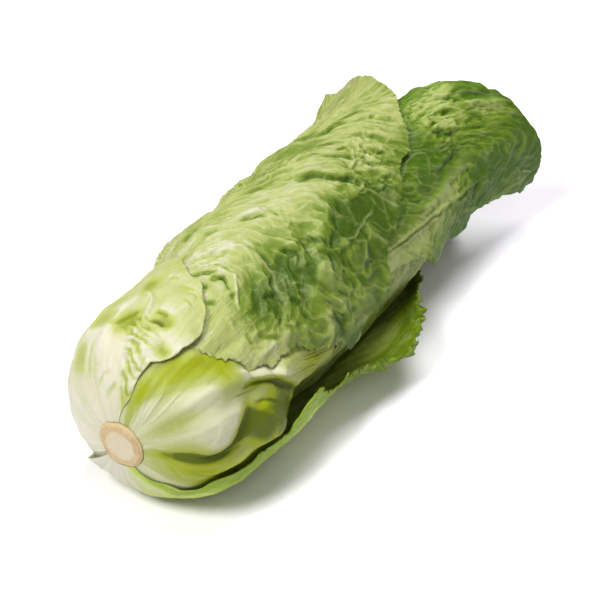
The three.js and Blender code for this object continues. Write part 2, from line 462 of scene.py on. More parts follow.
@dataclass
class Ground:
    """The vertices of one leaf's outer sheet, as arrays of rows from foot to tip by columns across.

    Across runs from -1 to 1 between the margins, edge is millimetres to the nearest margin, arc is millimetres along
    that margin, and shown is 0 where other leaves lie over this one and 1 where it shows.
    """

    distance: Array
    turn: Array
    across: Array
    edge: Array
    arc: Array
    shown: Array
    wander_a: Array = field(init=False)
    wander_b: Array = field(init=False)

    def __post_init__(self) -> None:
        """Works out the slightly wandering coordinates that keep drawn lines from running dead straight."""
        noise = Noise(5)
        a, b = self.distance, self.round
        self.wander_a = a + 0.7 * noise.soft(a / 8.0, b / 8.0) + 0.15 * noise.soft(a / 2.6, b / 2.6)
        self.wander_b = b + 0.7 * noise.soft(a / 8.0 + 40.0, b / 8.0) + 0.15 * noise.soft(a / 2.6 + 60.0, b / 2.6)

    @property
    def round(self) -> Array:
        """Millimetres round the head from its top line."""
        return self.turn * MM_PER_DEGREE


@dataclass(frozen=True)
class Wrinkling:
    """How high each kind of wrinkle stands on a leaf, and how far apart they are, in millimetres.

    Streak is how strongly crests and threads are coloured, base_ridge is the share of them that is left on the foot,
    deepest is how far any hollow goes, and foot_finer says how much closer together the wrinkles are there.
    """

    broad: float = 1.9
    long: float = 0.8
    ridge: float = 0.6
    thread: float = 0.28
    slit: float = 1.2
    net: float = 0.3
    fine: float = 0.12
    vein: float = 0.4
    pit: float = 0.6
    streak: float = 1.0
    base_ridge: float = 0.35
    deepest: float = 2.1
    vein_gap: float = 19.0
    vein_width: float = 0.55
    long_gap: float = 12.0
    ridge_gap: float = 7.0
    thread_gap: float = 3.4
    pit_gap: float = 5.0
    cell: float = 8.0
    foot_finer: float = 0.75


@dataclass(frozen=True)
class Wrinkles:
    """The wrinkles of one leaf, worked out at its vertices along coordinates that sway.

    across and along follow the side veins, round goes round the head, blade is 0 on the smooth ribs of the foot and
    1 on the crinkled blade, and patches says how strongly the blade is crinkled.
    """

    kind: Wrinkling
    noise: Noise
    ground: Ground
    across: Array
    along: Array
    round: Array
    blade: Array
    patches: Array

    def drawn(self) -> tuple[Array, Array, Array]:
        """Wrinkles drawn out along the side veins on the blade, and along the ribs near the foot.

        Returns:
            The long waves, from about -1 to 1, and the crests and the thin threads, from 0 to 1.
        """
        kind = self.kind
        long, crest, thread = (np.zeros_like(self.blade) for _ in range(3))
        on_blade = (self.across, self.along, self.blade, 1.0)
        on_foot = (self.round, self.ground.distance, 1.0 - self.blade, kind.foot_finer)
        for p, q, share, finer in (on_blade, on_foot):
            gap, ridge, narrow = kind.long_gap * finer, kind.ridge_gap * finer, kind.thread_gap * finer
            long += share * self.noise.layered(p / gap, q / (gap * 3.4), 2)
            crest += share * crests(self.noise, p / ridge + 11.0, q / (ridge * 5.0))
            thread += share * crests(self.noise, p / narrow + 47.0, q / (narrow * 7.0))
        return long, crest, thread

    def slits(self) -> tuple[Array, Array]:
        """Deep narrow creases, broken off here and there, each with a steep bank on one side.

        Returns:
            The creases and the banks, from 0 to 1.
        """
        a, b, gap = self.ground.distance, self.ground.round, self.kind.long_gap
        wave = self.noise.soft(self.across / (gap * 1.3) + 31.0, self.along / (gap * 3.0))
        broken = smoothstep(self.noise.soft(a / 17.0 + 9.0, b / 17.0 + 77.0), 0.08, 0.5) * self.blade
        slit = np.exp(-((np.abs(wave) / 0.06) ** 1.6)) * broken
        bank = np.exp(-np.abs(wave) / 0.28) * (0.5 - 0.5 * np.tanh(wave / 0.04)) * broken
        return slit, bank

    def nets(self) -> tuple[Array, Array]:
        """The wide net of veins and the close one inside it.

        Returns:
            How far each place is from a vein of the wide net and of the close one, in shares of a mesh.
        """
        a, b, u, v, cell = self.ground.distance, self.ground.round, self.across, self.along, self.kind.cell
        bend_u, bend_v = self.noise.soft(a / 9.0, b / 9.0 + 30.0), self.noise.soft(a / 9.0 + 30.0, b / 9.0)
        wide = self.noise.border(u / cell + 0.4 * bend_u, v / (cell * 2.0) + 0.4 * bend_v)
        close = self.noise.border(u * 2.3 / cell + 7.0 + 0.5 * bend_v, v * 1.4 / cell + 0.5 * bend_u)
        return wide, close

    def pits(self) -> Array:
        """Pits of two sizes with pinched ridges between them.

        Returns:
            Their form, from -1 in a pit to about 0.5 on a ridge.
        """
        form = np.zeros_like(self.blade)
        for size, share in ((self.kind.pit_gap, 1.0), (0.5 * self.kind.pit_gap, 0.5)):
            wave = self.noise.soft(self.across / size + 90.0, self.along / (1.7 * size) + size)
            form += share * (0.35 - np.abs(wave))
        return form * self.patches * self.blade

    def side_veins(self) -> Array:
        """The side veins, which fade out in places.

        Returns:
            1 on a vein and 0 beside it.
        """
        place = self.across / self.kind.vein_gap
        gap = np.abs(place - np.round(place)) * self.kind.vein_gap * 0.6
        wander = self.noise.soft(self.ground.distance / 24.0 + 3.0, self.ground.round / 24.0 + 13.0)
        return np.exp(-((gap / self.kind.vein_width) ** 2)) * (smoothstep(wander, -0.4, 0.2) * self.blade)

    def marks(self) -> tuple[Array, Array, Array]:
        """All kinds of wrinkle together.

        Returns:
            Their height, their tint, and how much of a vein each place is.
        """
        kind, blade = self.kind, self.blade
        long, crest, thread = self.drawn()
        crest, thread = crest - CREST_MEAN, thread - CREST_MEAN
        slit, bank = self.slits()
        wide, close = self.nets()
        wide_ridge, close_ridge = np.exp(-wide / 0.16) * blade, np.exp(-close / 0.2) * blade * self.patches
        pits, side_vein = self.pits(), self.side_veins()
        grain = self.noise.layered(self.ground.distance / 3.0, self.ground.round / 3.0, 2)
        strength = kind.base_ridge + (1.0 - kind.base_ridge) * blade

        small = (kind.ridge * crest + kind.thread * thread) * strength
        height = kind.long * long + small + kind.slit * (0.8 * bank - 1.5 * slit) + kind.vein * side_vein
        height += kind.net * wide_ridge + 0.5 * kind.net * close_ridge
        height += kind.fine * self.patches * grain + kind.pit * pits
        # Slits and pits are painted greener, and crests, banks and pinched ridges paler: partly the leaf's own
        # greener hollows and paler ribs, and partly painted shade in the hollows and painted light on the crests.
        streaks = kind.streak * (0.20 * crest + 0.10 * thread)
        tint = 0.6 * slit - 0.14 * bank - strength * (0.08 * long + streaks) - 0.22 * kind.pit * pits
        tint += 0.05 - 0.16 * wide_ridge - 0.08 * close_ridge
        return height, tint, 0.6 * side_vein + 0.4 * np.exp(-((wide / 0.07) ** 2)) * blade


@dataclass(kw_only=True)
class Leaf:
    """One leaf: a thin sheet that grows from the core and wraps part of the way round the head.

    left and right are its margins, as distance and turn. The lifts and the crown say, by distance, how far it stands
    away from its layer: all over, towards each margin, and in its middle. Flow is the angle of the side veins, and
    early_flow that nearer the foot, by turn. Tint and least_tint are its greenness and the least of it, by distance.
    """

    name: str
    slot: Slot
    depth: float
    seed: int
    left: Stations
    right: Stations
    wrinkling: Wrinkling
    tint: Stations
    lift: Stations = ((0, 0),)
    left_lift: Stations = ((0, 0),)
    right_lift: Stations = ((0, 0),)
    crown: Stations = ((0, 0),)
    thickness: float = 0.9
    spacing: float = 0.95
    inner_step: int = 4
    curl_share: float = 0.7
    tip_bulge: float = 3.0
    tooth_height: float = 0.9
    tooth_gap: float = 5.0
    tooth_share: Stations = ((0, 1),)
    wave_height: float = 0.8
    wave_length: float = 9.0
    frill_height: float = 0.8
    frill_length: float = 8.0
    core_gap: float = -0.1
    flow: Stations = ((-180, 20), (180, 20))
    early_flow: Stations = ()
    flow_change: tuple[float, float] = (60.0, 185.0)
    blade_start: tuple[float, float] = (45.0, 88.0)
    least_tint: Stations = ((0, 0),)
    folds: tuple[Fold, ...] = ()
    bosses: tuple[Boss, ...] = ()

    @property
    def tip(self) -> float:
        """Distance of the tip from the cut."""
        return self.left[-1][0]

    def standing(self, distance: Array, across: Array) -> Array:
        """How far the leaf stands away from its layer.

        Args:
            distance: distance from the cut.
            across: place across the leaf, from -1 to 1.

        Returns:
            The lift in millimetres.
        """
        edge = np.clip((np.abs(across) - 1.0 + self.curl_share) / self.curl_share, 0.0, 1.0) ** 2
        side = np.where(across < 0.0, flowing(self.left_lift, distance), flowing(self.right_lift, distance))
        middle = flowing(self.crown, distance) * (1.0 - across**2) ** 2
        return flowing(self.lift, distance) + middle + side * edge

    def foot(self, across: float) -> float:
        """The least distance at which the leaf is clear of the core.

        Args:
            across: place across the leaf, from -1 to 1.

        Returns:
            The distance of the foot.
        """
        tries = np.linspace(0.02, 60.0, 6000)
        depth = self.depth - self.standing(tries, np.full_like(tries, across))
        along, radius = HEAD.profile(tries, depth + self.thickness * 0.5)
        core = np.interp(along, *np.array(StemCore.outline).T)
        clear = (radius > core + self.core_gap) & (along > 0.2)
        return float(tries[np.argmax(clear)])

    def outside(self, distance: Array, turn: Array) -> Array:
        """How far places are outside the leaf's outline.

        Args:
            distance: the places' distances from the cut.
            turn: the places' turns, in degrees.

        Returns:
            Millimetres to the outline, negative inside it.
        """
        nearest = np.full_like(distance, 1e9)
        for wrap in (-360.0, 0.0, 360.0):
            worst = distance - self.tip
            for margin, side in ((self.left, -1.0), (self.right, 1.0)):
                here, ahead = flowing(margin, distance), flowing(margin, distance + 1.0)
                slope = (ahead - here) * MM_PER_DEGREE
                gap = side * (turn + wrap - here) * MM_PER_DEGREE / np.sqrt(1.0 + slope**2)
                worst = np.maximum(worst, gap)
            nearest = np.minimum(nearest, worst)
        return nearest

    def rows(self, columns_share: Array) -> Array:
        """Distances of the rows, closer together where a margin runs steeply.

        Args:
            columns_share: places across the leaf, one for each column.

        Returns:
            An array of rows by columns.
        """
        foot = self.foot(0.0)
        tries = np.linspace(foot, self.tip, 4000)
        along, radius = HEAD.profile(tries, np.full_like(tries, self.depth))
        steps = np.hypot(np.gradient(along), np.gradient(radius))
        for margin in (self.left, self.right):
            steps = np.maximum(steps, 0.62 * MM_PER_DEGREE * np.abs(np.gradient(flowing(margin, tries))))
        total = np.concatenate([[0.0], np.cumsum(steps[1:])])
        blocks = max(int(round(total[-1] / self.spacing / self.inner_step)), 4)
        middle = np.interp(np.linspace(0.0, total[-1], blocks * self.inner_step + 1), total, tries)
        feet = np.array([self.foot(share) for share in columns_share])
        near_foot = 1.0 - smoothstep(middle, foot, foot + 14.0)
        return middle[:, None] + near_foot[:, None] * (feet - foot)[None, :]

    def ground(self, above: list["Leaf"]) -> Ground:
        """Lays out the vertices of the outer sheet, margins and all.

        Args:
            above: the leaves that lie over this one.

        Returns:
            The vertices' places on the head.
        """
        tries = np.linspace(0.0, self.tip, 400)
        widest = np.max(flowing(self.right, tries) - flowing(self.left, tries)) * MM_PER_DEGREE
        blocks = max(int(round(widest / self.spacing / self.inner_step)), 4)
        shares = np.linspace(-1.0, 1.0, blocks * self.inner_step + 1)
        distance = self.rows(shares)
        across = np.broadcast_to(shares[None, :], distance.shape).copy()
        left, right = flowing(self.left, distance), flowing(self.right, distance)
        turn = left + (right - left) * (across + 1.0) / 2.0
        half = (right - left) * MM_PER_DEGREE / 2.0
        edge_side = (1.0 - np.abs(across)) * half
        edge = np.minimum(edge_side, self.tip - distance + 0.4)

        noise = Noise(self.seed + 50)
        arc = np.zeros_like(distance)
        out_a, out_b = np.zeros_like(distance), np.zeros_like(distance)
        for column, side in ((0, -1.0), (-1, 1.0)):
            line_a, line_b = distance[:, column], turn[:, column] * MM_PER_DEGREE
            step = np.hypot(np.gradient(line_a), np.gradient(line_b))
            run = np.cumsum(step)
            half_sheet = across * side >= 0.0
            along = np.broadcast_to((run + 500.0 * (side > 0))[:, None], distance.shape)
            arc = np.where(half_sheet, along, arc)
            push = self.margin_push(run, line_a, side, noise) * smoothstep(line_a, 3.0, 20.0)
            reach = np.exp(-edge_side / TOOTH_ROOT)
            out_a += np.where(half_sheet, -side * (np.gradient(line_b) / step * push)[:, None] * reach, 0.0)
            out_b += np.where(half_sheet, side * (np.gradient(line_a) / step * push)[:, None] * reach, 0.0)
        tip_near = np.exp(-(self.tip - distance) / 6.0)
        bulge = self.tip_bulge * (1.0 - across**2) + 0.7 * self.wave_height * noise.soft(across * 4.0, across * 0.0)
        distance = distance + out_a + bulge * tip_near
        turn = turn + out_b / MM_PER_DEGREE
        shown = np.ones_like(distance)
        for other in above:
            shown = np.minimum(shown, smoothstep(other.outside(distance, turn), -0.5, 6.0))
        return Ground(distance, turn, across, edge, arc, shown)

    def margin_push(self, run: Array, distance: Array, side: float, noise: Noise) -> Array:
        """How far a margin's waves and teeth stand out of its smooth line.

        Args:
            run: millimetres along the margin.
            distance: the margin's distance from the cut.
            side: -1 for the left margin and 1 for the right one.
            noise: the pattern that the waves come from.

        Returns:
            Millimetres outwards, for each place along the margin.
        """
        draw = np.random.default_rng(self.seed * 7 + int(side) + 3)
        shift, tall = draw.uniform(-0.25, 0.25, MOST_TEETH), draw.uniform(0.25, 1.0, MOST_TEETH)
        place = run / self.tooth_gap
        whole = np.clip(np.floor(place).astype(int), 0, MOST_TEETH - 1)
        gap = np.abs(place - whole - 0.5 - shift[whole]) * self.tooth_gap
        teeth = self.tooth_height * tall[whole] * np.clip(1.0 - gap / TOOTH_HALF, 0.0, 1.0) ** 1.2
        teeth = teeth * flowing(self.tooth_share, distance)
        waves = noise.layered(run / self.wave_length, np.full_like(run, 3.7 * side), 2)
        return teeth + self.wave_height * waves

    def flow_places(self, ground: Ground) -> tuple[Array, Array]:
        """Coordinates that follow the side veins, which leave the midrib and turn outwards.

        Args:
            ground: the leaf's vertices.

        Returns:
            The place across the veins and the place along them.
        """
        across = ground.distance.copy()
        along = np.zeros_like(across)
        late = smoothstep(ground.distance, *self.flow_change) if self.early_flow else np.ones_like(across)
        turns = np.linspace(-420.0, 420.0, 841)
        for flow, share in ((self.flow, late), (self.early_flow, 1.0 - late)):
            if not flow:
                continue
            angles = np.radians(flowing(flow, turns))
            drift = np.cumsum(1.0 / np.tan(angles)) * MM_PER_DEGREE
            length = np.cumsum(1.0 / np.sin(angles)) * MM_PER_DEGREE
            drift -= np.interp(0.0, turns, drift)
            length -= np.interp(0.0, turns, length)
            across -= share * np.interp(ground.turn, turns, drift)
            along += share * np.interp(ground.turn, turns, length)
        return across, along

    def extra_height(self, ground: Ground) -> Array:
        """Relief that only this leaf has, on top of what all leaves share."""
        return np.zeros_like(ground.distance)

    def extra_tint(self, ground: Ground) -> Array:
        """Tint that only this leaf has, on top of what all leaves share."""
        return np.zeros_like(ground.distance)

    def wrinkles(self, ground: Ground) -> Wrinkles:
        """The wrinkles of this leaf, laid out along its veins.

        Args:
            ground: the leaf's vertices.

        Returns:
            The wrinkles.
        """
        noise = Noise(self.seed)
        a, b = ground.distance, ground.round
        patches = 0.35 + 0.9 * smoothstep(noise.soft(a / 33.0 + 5.0, b / 27.0), -0.2, 0.6)
        for boss in self.bosses:
            patches = patches + boss.crinkle * boss.mask(ground)
        across, along = self.flow_places(ground)
        sway = 3.0 * noise.soft(a / 21.0, b / 17.0) + 1.3 * noise.soft(a / 8.0, b / 8.0)
        blade = smoothstep(a, *self.blade_start)
        return Wrinkles(self.wrinkling, noise, ground, across + sway, along, b + 0.35 * sway, blade, patches)

    def relief(self, ground: Ground) -> dict[str, Array]:
        """The wrinkles, veins and colouring of the leaf.

        Args:
            ground: the leaf's vertices.

        Returns:
            By name: the height of the surface over the leaf's smooth form, its tint from 0, white, to 1, deep green,
            how much of a vein it is, and the places across and along the fibres of the blade and of the rib.
        """
        a, b = ground.distance, ground.round
        wrinkles = self.wrinkles(ground)
        kind, noise = wrinkles.kind, wrinkles.noise
        height, tint, vein = wrinkles.marks()
        for boss in self.bosses:
            mask = boss.mask(ground)
            height += boss.height * mask
            tint += boss.shade * mask
        for fold in self.folds:
            fold_height, fold_tint, fold_vein = fold.press(ground)
            height += fold_height
            tint += fold_tint
            vein = np.maximum(vein, fold_vein)
        height += self.extra_height(ground)

        height = np.where(height < 0.0, -kind.deepest * np.tanh(-height / kind.deepest), height)
        height = height * towards_rim(ground.edge) * ground.shown
        frill = noise.layered(ground.arc / self.frill_length, ground.edge / 9.0, 2)
        height += self.frill_height * frill * np.exp(-ground.edge / 4.5) * ground.shown
        height += kind.broad * Noise(1).layered(a / 50.0, b / 38.0, 3) * smoothstep(a, 8.0, 60.0)
        height += sum(boss.height * boss.mask(ground) for boss in HEAD_HOLLOWS)
        height -= COVERED_SINK * (1.0 - ground.shown)

        wander = a + 9.0 * noise.soft(a / 24.0 + 21.0, b / 13.0)
        tint = tint + flowing(self.tint, wander) + 0.06 * noise.layered(a / 17.0, b / 17.0 + 8.0)
        least = flowing(self.least_tint, a)
        over = tint + self.extra_tint(ground) - least
        return {
            "height": height,
            "tint": np.clip(np.maximum(over, 0.35 * over) + least, 0.0, 1.25),
            "vein": np.clip(vein, 0.0, 1.0),
            "blade": np.stack([wrinkles.across, wrinkles.along, wrinkles.blade], axis=-1),
            "fan": np.stack([wrinkles.round, a, wrinkles.blade], axis=-1),
        }

    def build(self, above: list["Leaf"], finish: "LeafFinish") -> Piece:
        """Builds the leaf and dresses it.

        Args:
            above: the leaves that lie over this one.
            finish: the leaf's finish.

        Returns:
            The finished piece.
        """
        ground = self.ground(above)
        marks = self.relief(ground)
        height = marks.pop("height")
        smooth = self.depth - self.standing(ground.distance, ground.across)
        step = self.inner_step
        sheets = []
        for inset, every, over in ((0.0, 1, height), (self.thickness, step, lowest_near(height, step - 1))):
            inset = inset * towards_rim(ground.edge)
            rest = (np.maximum(smooth, 0.0) + inset) * HEAD.pressed_share
            points = HEAD.place(ground.distance, ground.turn, smooth - over + inset, rest)
            sheets.append(points[::every, ::every])
        shell = Shell(sheets[0], sheets[1], step)
        piece = shell.piece(self.name, {key: (values, values[::step, ::step]) for key, values in marks.items()})
        piece.data.materials.append(finish.material())
        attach(piece, BODY)
        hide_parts(self.name)
        return piece


@dataclass
class Shell:
    """A closed thin shell: a fine outer sheet and a coarser inner one, joined round their rims."""

    outer: Array
    inner: Array
    step: int

    def faces(self) -> list[Array]:
        """The faces of both sheets and of the rim that joins them.

        Returns:
            Arrays of vertex numbers: the quads of both sheets, then the triangles of the rim.
        """
        rows, columns = self.outer.shape[:2]
        low_rows, low_columns = self.inner.shape[:2]
        outer = np.arange(rows * columns).reshape(rows, columns)
        inner = rows * columns + np.arange(low_rows * low_columns).reshape(low_rows, low_columns)
        quads = []
        for grid, turned in ((outer, False), (inner, True)):
            ring = [grid[:-1, :-1], grid[:-1, 1:], grid[1:, 1:], grid[1:, :-1]]
            ring = ring[::-1] if turned else ring
            quads.append(np.stack([corner.ravel() for corner in ring], axis=1))
        rim_outer = self.rim(outer)
        rim_inner = self.rim(inner)
        triangles = []
        for index in range(len(rim_inner)):
            here, ahead = rim_inner[index], rim_inner[(index + 1) % len(rim_inner)]
            for place in range(self.step):
                first = rim_outer[index * self.step + place]
                second = rim_outer[(index * self.step + place + 1) % len(rim_outer)]
                triangles.append((second, first, here if place < self.step // 2 else ahead))
                if place == self.step // 2 - 1:
                    triangles.append((second, here, ahead))
        return [np.vstack(quads), np.array(triangles)]

    @staticmethod
    def rim(grid: Array) -> Array:
        """The vertex numbers round a grid, each once."""
        return np.concatenate([grid[0, :-1], grid[:-1, -1], grid[-1, :0:-1], grid[:0:-1, 0]])

    def piece(self, name: str, marks: dict[str, tuple[Array, Array]]) -> Piece:
        """Makes the shell an object of the scene.

        Args:
            name: the name of the piece.
            marks: values at the vertices of the outer and the inner sheet, by attribute name.

        Returns:
            The object.
        """
        points = np.vstack([self.outer.reshape(-1, 3), self.inner.reshape(-1, 3)])
        values = {}
        for key, (first, second) in marks.items():
            shape = (-1, 3) if first.ndim == 3 else (-1,)
            values[key] = np.concatenate([first.reshape(shape), second.reshape(shape)])
        return mesh_piece(name, points, self.faces(), values)


def mesh_piece(name: str, points: Array, faces: list[Array], marks: dict[str, Array]) -> Piece:
    """Makes a smooth-shaded mesh object.

    Args:
        name: the name of the piece.
        points: the vertices in metres, one a row.
        faces: arrays of vertex numbers, one array for each number of corners.
        marks: a value or a vector for each vertex, by attribute name.

    Returns:
        The object, linked to the scene.
    """
    mesh = bpy.data.meshes.new(f"{name}_mesh")
    corners = np.concatenate([block.ravel() for block in faces]).astype(np.int32)
    counts = np.concatenate([np.full(len(block), block.shape[1]) for block in faces]).astype(np.int32)
    mesh.vertices.add(len(points))
    mesh.vertices.foreach_set("co", points.astype(np.float32).ravel())
    mesh.loops.add(len(corners))
    mesh.loops.foreach_set("vertex_index", corners)
    mesh.polygons.add(len(counts))
    mesh.polygons.foreach_set("loop_start", np.concatenate([[0], np.cumsum(counts)[:-1]]).astype(np.int32))
    mesh.polygons.foreach_set("use_smooth", np.ones(len(counts), dtype=bool))
    mesh.update(calc_edges=True)
    for key, values in marks.items():
        layer = mesh.attributes.new(key, "FLOAT_VECTOR" if values.ndim == 2 else "FLOAT", "POINT")
        layer.data.foreach_set("vector" if values.ndim == 2 else "value", values.astype(np.float32).ravel())
    mesh.validate()
    piece = bpy.data.objects.new(f"{name}_form", mesh)
    bpy.context.scene.collection.objects.link(piece)
    return piece


@dataclass
class StemCore:
    """The cut stem, with its pith and its ring of strands, and the core that the leaves grow from."""

    outline: Stations = ((0, 11), (0.8, 11.3), (5, 11.8), (13, 12.4), (26, 12), (42, 8), (56, 3.2))
    end: float = 60.0
    sides: int = 168
    face_rings: int = 34
    side_rings: int = 52
    pith_radius: float = 7.3
    rim_wobble: float = 0.6
    saw_marks: float = 0.10
    dish: float = 0.35

    def rings(self) -> tuple[Array, Array]:
        """The rings of vertices, out over the face and on down the side.

        Returns:
            Each ring's radius and its depth from the cut.
        """
        face_radius = self.outline[0][1]
        face = np.linspace(0.0, 1.0, self.face_rings + 1)[1:] ** 0.9 * face_radius
        along = np.linspace(0.0, self.end, self.side_rings + 1)[1:] ** 1.25 / self.end**0.25
        stations = np.array([*self.outline, (self.end, 0.15)])
        return np.concatenate([face, np.interp(along, *stations.T)]), np.concatenate([np.zeros_like(face), along])

    def surface(self) -> tuple[Array, Array, Array, Array, Array]:
        """The cut face with its dish, saw marks and strands, and the core's side.

        Returns:
            Each vertex's place to the right and up, its depth from the cut, its share of pith and its share of bark.
        """
        noise = Noise(11)
        radius, depth = self.rings()
        turns = np.linspace(0.0, 2.0 * math.pi, self.sides, endpoint=False)
        ring, turn = np.meshgrid(radius, turns, indexing="ij")
        depth = np.broadcast_to(depth[:, None], ring.shape).copy()
        round_a, round_b = np.cos(turn), np.sin(turn)
        share = np.clip(ring / self.outline[0][1], 0.0, 1.0)
        wobble = noise.layered(round_a * 1.7 + 3.0, round_b * 1.7, 3) + 0.3 * noise.soft(turn * 9.0, ring * 0.0)
        outer = ring + self.rim_wobble * wobble * smoothstep(share, 0.5, 1.0)
        a, b = outer * round_a, outer * round_b
        on_face = depth < 0.01
        dent = self.dish * np.exp(-((share / 0.66) ** 4))
        marks = self.saw_marks * noise.soft(a * 0.25 + b * 0.12, b * 1.6 - a * 0.5)
        strands = 0.14 * noise.soft(a * 1.3, b * 1.3) + 0.07 * noise.soft(a * 3.1, b * 3.1)
        edge_round = 0.9 * smoothstep(share, 0.86, 1.0) ** 2
        depth = depth + np.where(on_face, np.maximum(dent + marks + strands + edge_round + 0.12, 0.0), 0.0)
        depth = depth + np.where(~on_face, np.exp(-depth / 1.4), 0.0)
        ragged = outer + 0.5 * noise.layered(a / 2.6, b / 2.6)
        pith = 1.0 - smoothstep(ragged, self.pith_radius - 0.6, self.pith_radius + 0.7)
        return a, b, depth, pith, np.where(on_face, smoothstep(share, 0.975, 1.0), 1.0)

    def build(self, finish: "StemFinish") -> Piece:
        """Builds the stem and dresses it.

        Args:
            finish: the stem's finish.

        Returns:
            The finished piece.
        """
        a, b, depth, pith, bark = self.surface()
        x, (_, y, z) = STEM_LOW[0], STEM_MIDDLE
        points = np.stack([x + depth * METRES, y - a * METRES, z + b * METRES], axis=-1).reshape(-1, 3)
        ends = np.array([[x + (self.dish + 0.1) * METRES, y, z], [x + self.end * METRES - 0.0002, y, z]])
        count = len(points)
        grid = np.arange(count).reshape(depth.shape)
        beside = np.roll(grid, -1, axis=1)
        quads = np.stack([grid[:-1], grid[1:], beside[1:], beside[:-1]], axis=-1).reshape(-1, 4)
        start = np.stack([np.full(self.sides, count), grid[0], beside[0]], axis=-1)
        close = np.stack([np.full(self.sides, count + 1), beside[-1], grid[-1]], axis=-1)
        marks = {
            "pith": np.concatenate([pith.ravel(), [1.0, 0.0]]),
            "bark": np.concatenate([bark.ravel(), [0.0, 1.0]]),
        }
        faces = [quads, np.vstack([start, close])]
        piece = mesh_piece("stem_core", np.vstack([points, ends]), faces, marks)
        piece.data.materials.append(finish.material())
        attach(piece, BODY)
        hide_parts("stem_core")
        return piece


def linear(red: int, green: int, blue: int) -> Colour:
    """A colour from 0 to 255 display values, as linear values for a shader."""
    shares = (value / 255.0 for value in (red, green, blue))
    return tuple(share / 12.92 if share <= 0.04045 else ((share + 0.055) / 1.055) ** 2.4 for share in shares)


class Nodes:
    """A short way to place and join nodes in a tree."""

    def __init__(self, tree: bpy.types.NodeTree) -> None:
        """Takes the tree to work in."""
        self.tree = tree

    def add(self, kind: str, values: dict[str | int, object] | None = None, **settings: object) -> Node:
        """Places one node.

        Args:
            kind: the node's type name.
            values: default values of its inputs, by name or number.
            settings: its own settings.

        Returns:
            The node.
        """
        node = self.tree.nodes.new(kind)
        for key, value in settings.items():
            setattr(node, key, value)
        for key, value in (values or {}).items():
            node.inputs[key].default_value = value
        return node

    def join(self, source: Socket, target: Socket) -> None:
        """Joins an output to an input."""
        self.tree.links.new(source, target)

    def math(self, operation: str, first: object, second: object = 0.0, clamp: bool = False) -> Socket:
        """A Math node of two values, each a number or a socket.

        Args:
            operation: the operation's name.
            first: the first value.
            second: the second value.
            clamp: whether the result is kept from 0 to 1.

        Returns:
            The result's socket.
        """
        node = self.add("ShaderNodeMath", operation=operation, use_clamp=clamp)
        for index, value in enumerate((first, second)):
            self.feed(node.inputs[index], value)
        return node.outputs[0]

    def mix(self, share: object, first: object, second: object, kind: str = "RGBA") -> Socket:
        """A mix of two colours or of two values.

        Args:
            share: how much of the second there is.
            first: the first colour or value, or its socket.
            second: the second one.
            kind: RGBA for colours, and FLOAT for values.

        Returns:
            The result's socket.
        """
        node = self.add("ShaderNodeMix", data_type=kind)
        one, two, result = (6, 7, 2) if kind == "RGBA" else (2, 3, 0)
        for index, value in ((0, share), (one, first), (two, second)):
            self.feed(node.inputs[index], value)
        return node.outputs[result]

    def ramp(self, value: object, low: float, high: float) -> Socket:
        """A soft ramp from 0 to 1.

        Args:
            value: what the ramp runs over.
            low: where it leaves 0.
            high: where it reaches 1.

        Returns:
            The ramp's socket.
        """
        node = self.add("ShaderNodeMapRange", {1: low, 2: high}, interpolation_type="SMOOTHSTEP")
        self.feed(node.inputs[0], value)
        return node.outputs[0]

    def feed(self, target: Socket, value: object) -> None:
        """Gives an input its value.

        Args:
            target: the input.
            value: a socket to join to it, or a number, a vector or a colour of its own.
        """
        if isinstance(value, Socket):
            self.join(value, target)
        elif isinstance(value, tuple) and len(target.default_value) == 4:
            target.default_value = (*value, 1.0)
        else:
            target.default_value = value

    def dress(self, shader: Node, values: dict[str, object]) -> None:
        """Feeds several inputs of one shader or group, by name."""
        for key, value in values.items():
            self.feed(shader.inputs[key], value)

    def bump(self, height: Socket, strength: float) -> Socket:
        """Fine relief of up to half a millimetre.

        Args:
            height: the relief, from 0 to 1.
            strength: how strongly it shows.

        Returns:
            The socket of the surface's normal.
        """
        node = self.add("ShaderNodeBump", {"Strength": strength, "Distance": 0.0005})
        self.join(height, node.inputs["Height"])
        return node.outputs["Normal"]

    def total(self, start: object, *terms: tuple[object, object]) -> Socket:
        """A sum of a first value and of products, each of two values.

        Args:
            start: the first value.
            terms: the pairs of values that are multiplied.

        Returns:
            The sum's socket.
        """
        for first, second in terms:
            node = self.add("ShaderNodeMath", operation="MULTIPLY_ADD")
            for index, value in enumerate((first, second, start)):
                self.feed(node.inputs[index], value)
            start = node.outputs[0]
        return start


def new_material(name: str) -> tuple[bpy.types.Material, Nodes, Node]:
    """Makes a new material.

    Args:
        name: the material's name.

    Returns:
        The material, a way to place nodes in it, and its shader.
    """
    material = bpy.data.materials.new(name)
    material.use_nodes = True
    return material, Nodes(material.node_tree), material.node_tree.nodes["Principled BSDF"]


def new_group(
    name: str, inputs: dict[str, str], outputs: dict[str, str]
) -> tuple[Nodes, Node, Node]:
    """An empty shader node group with its sockets.

    Args:
        name: the group's name.
        inputs: the kind of each input, by name.
        outputs: the kind of each output, by name.

    Returns:
        A way to place nodes in it, its input node and its output node.
    """
    tree = bpy.data.node_groups.new(name, "ShaderNodeTree")
    for side, sockets in (("INPUT", inputs), ("OUTPUT", outputs)):
        for key, kind in sockets.items():
            tree.interface.new_socket(name=key, in_out=side, socket_type=kind)
    nodes = Nodes(tree)
    return nodes, nodes.add("NodeGroupInput"), nodes.add("NodeGroupOutput")


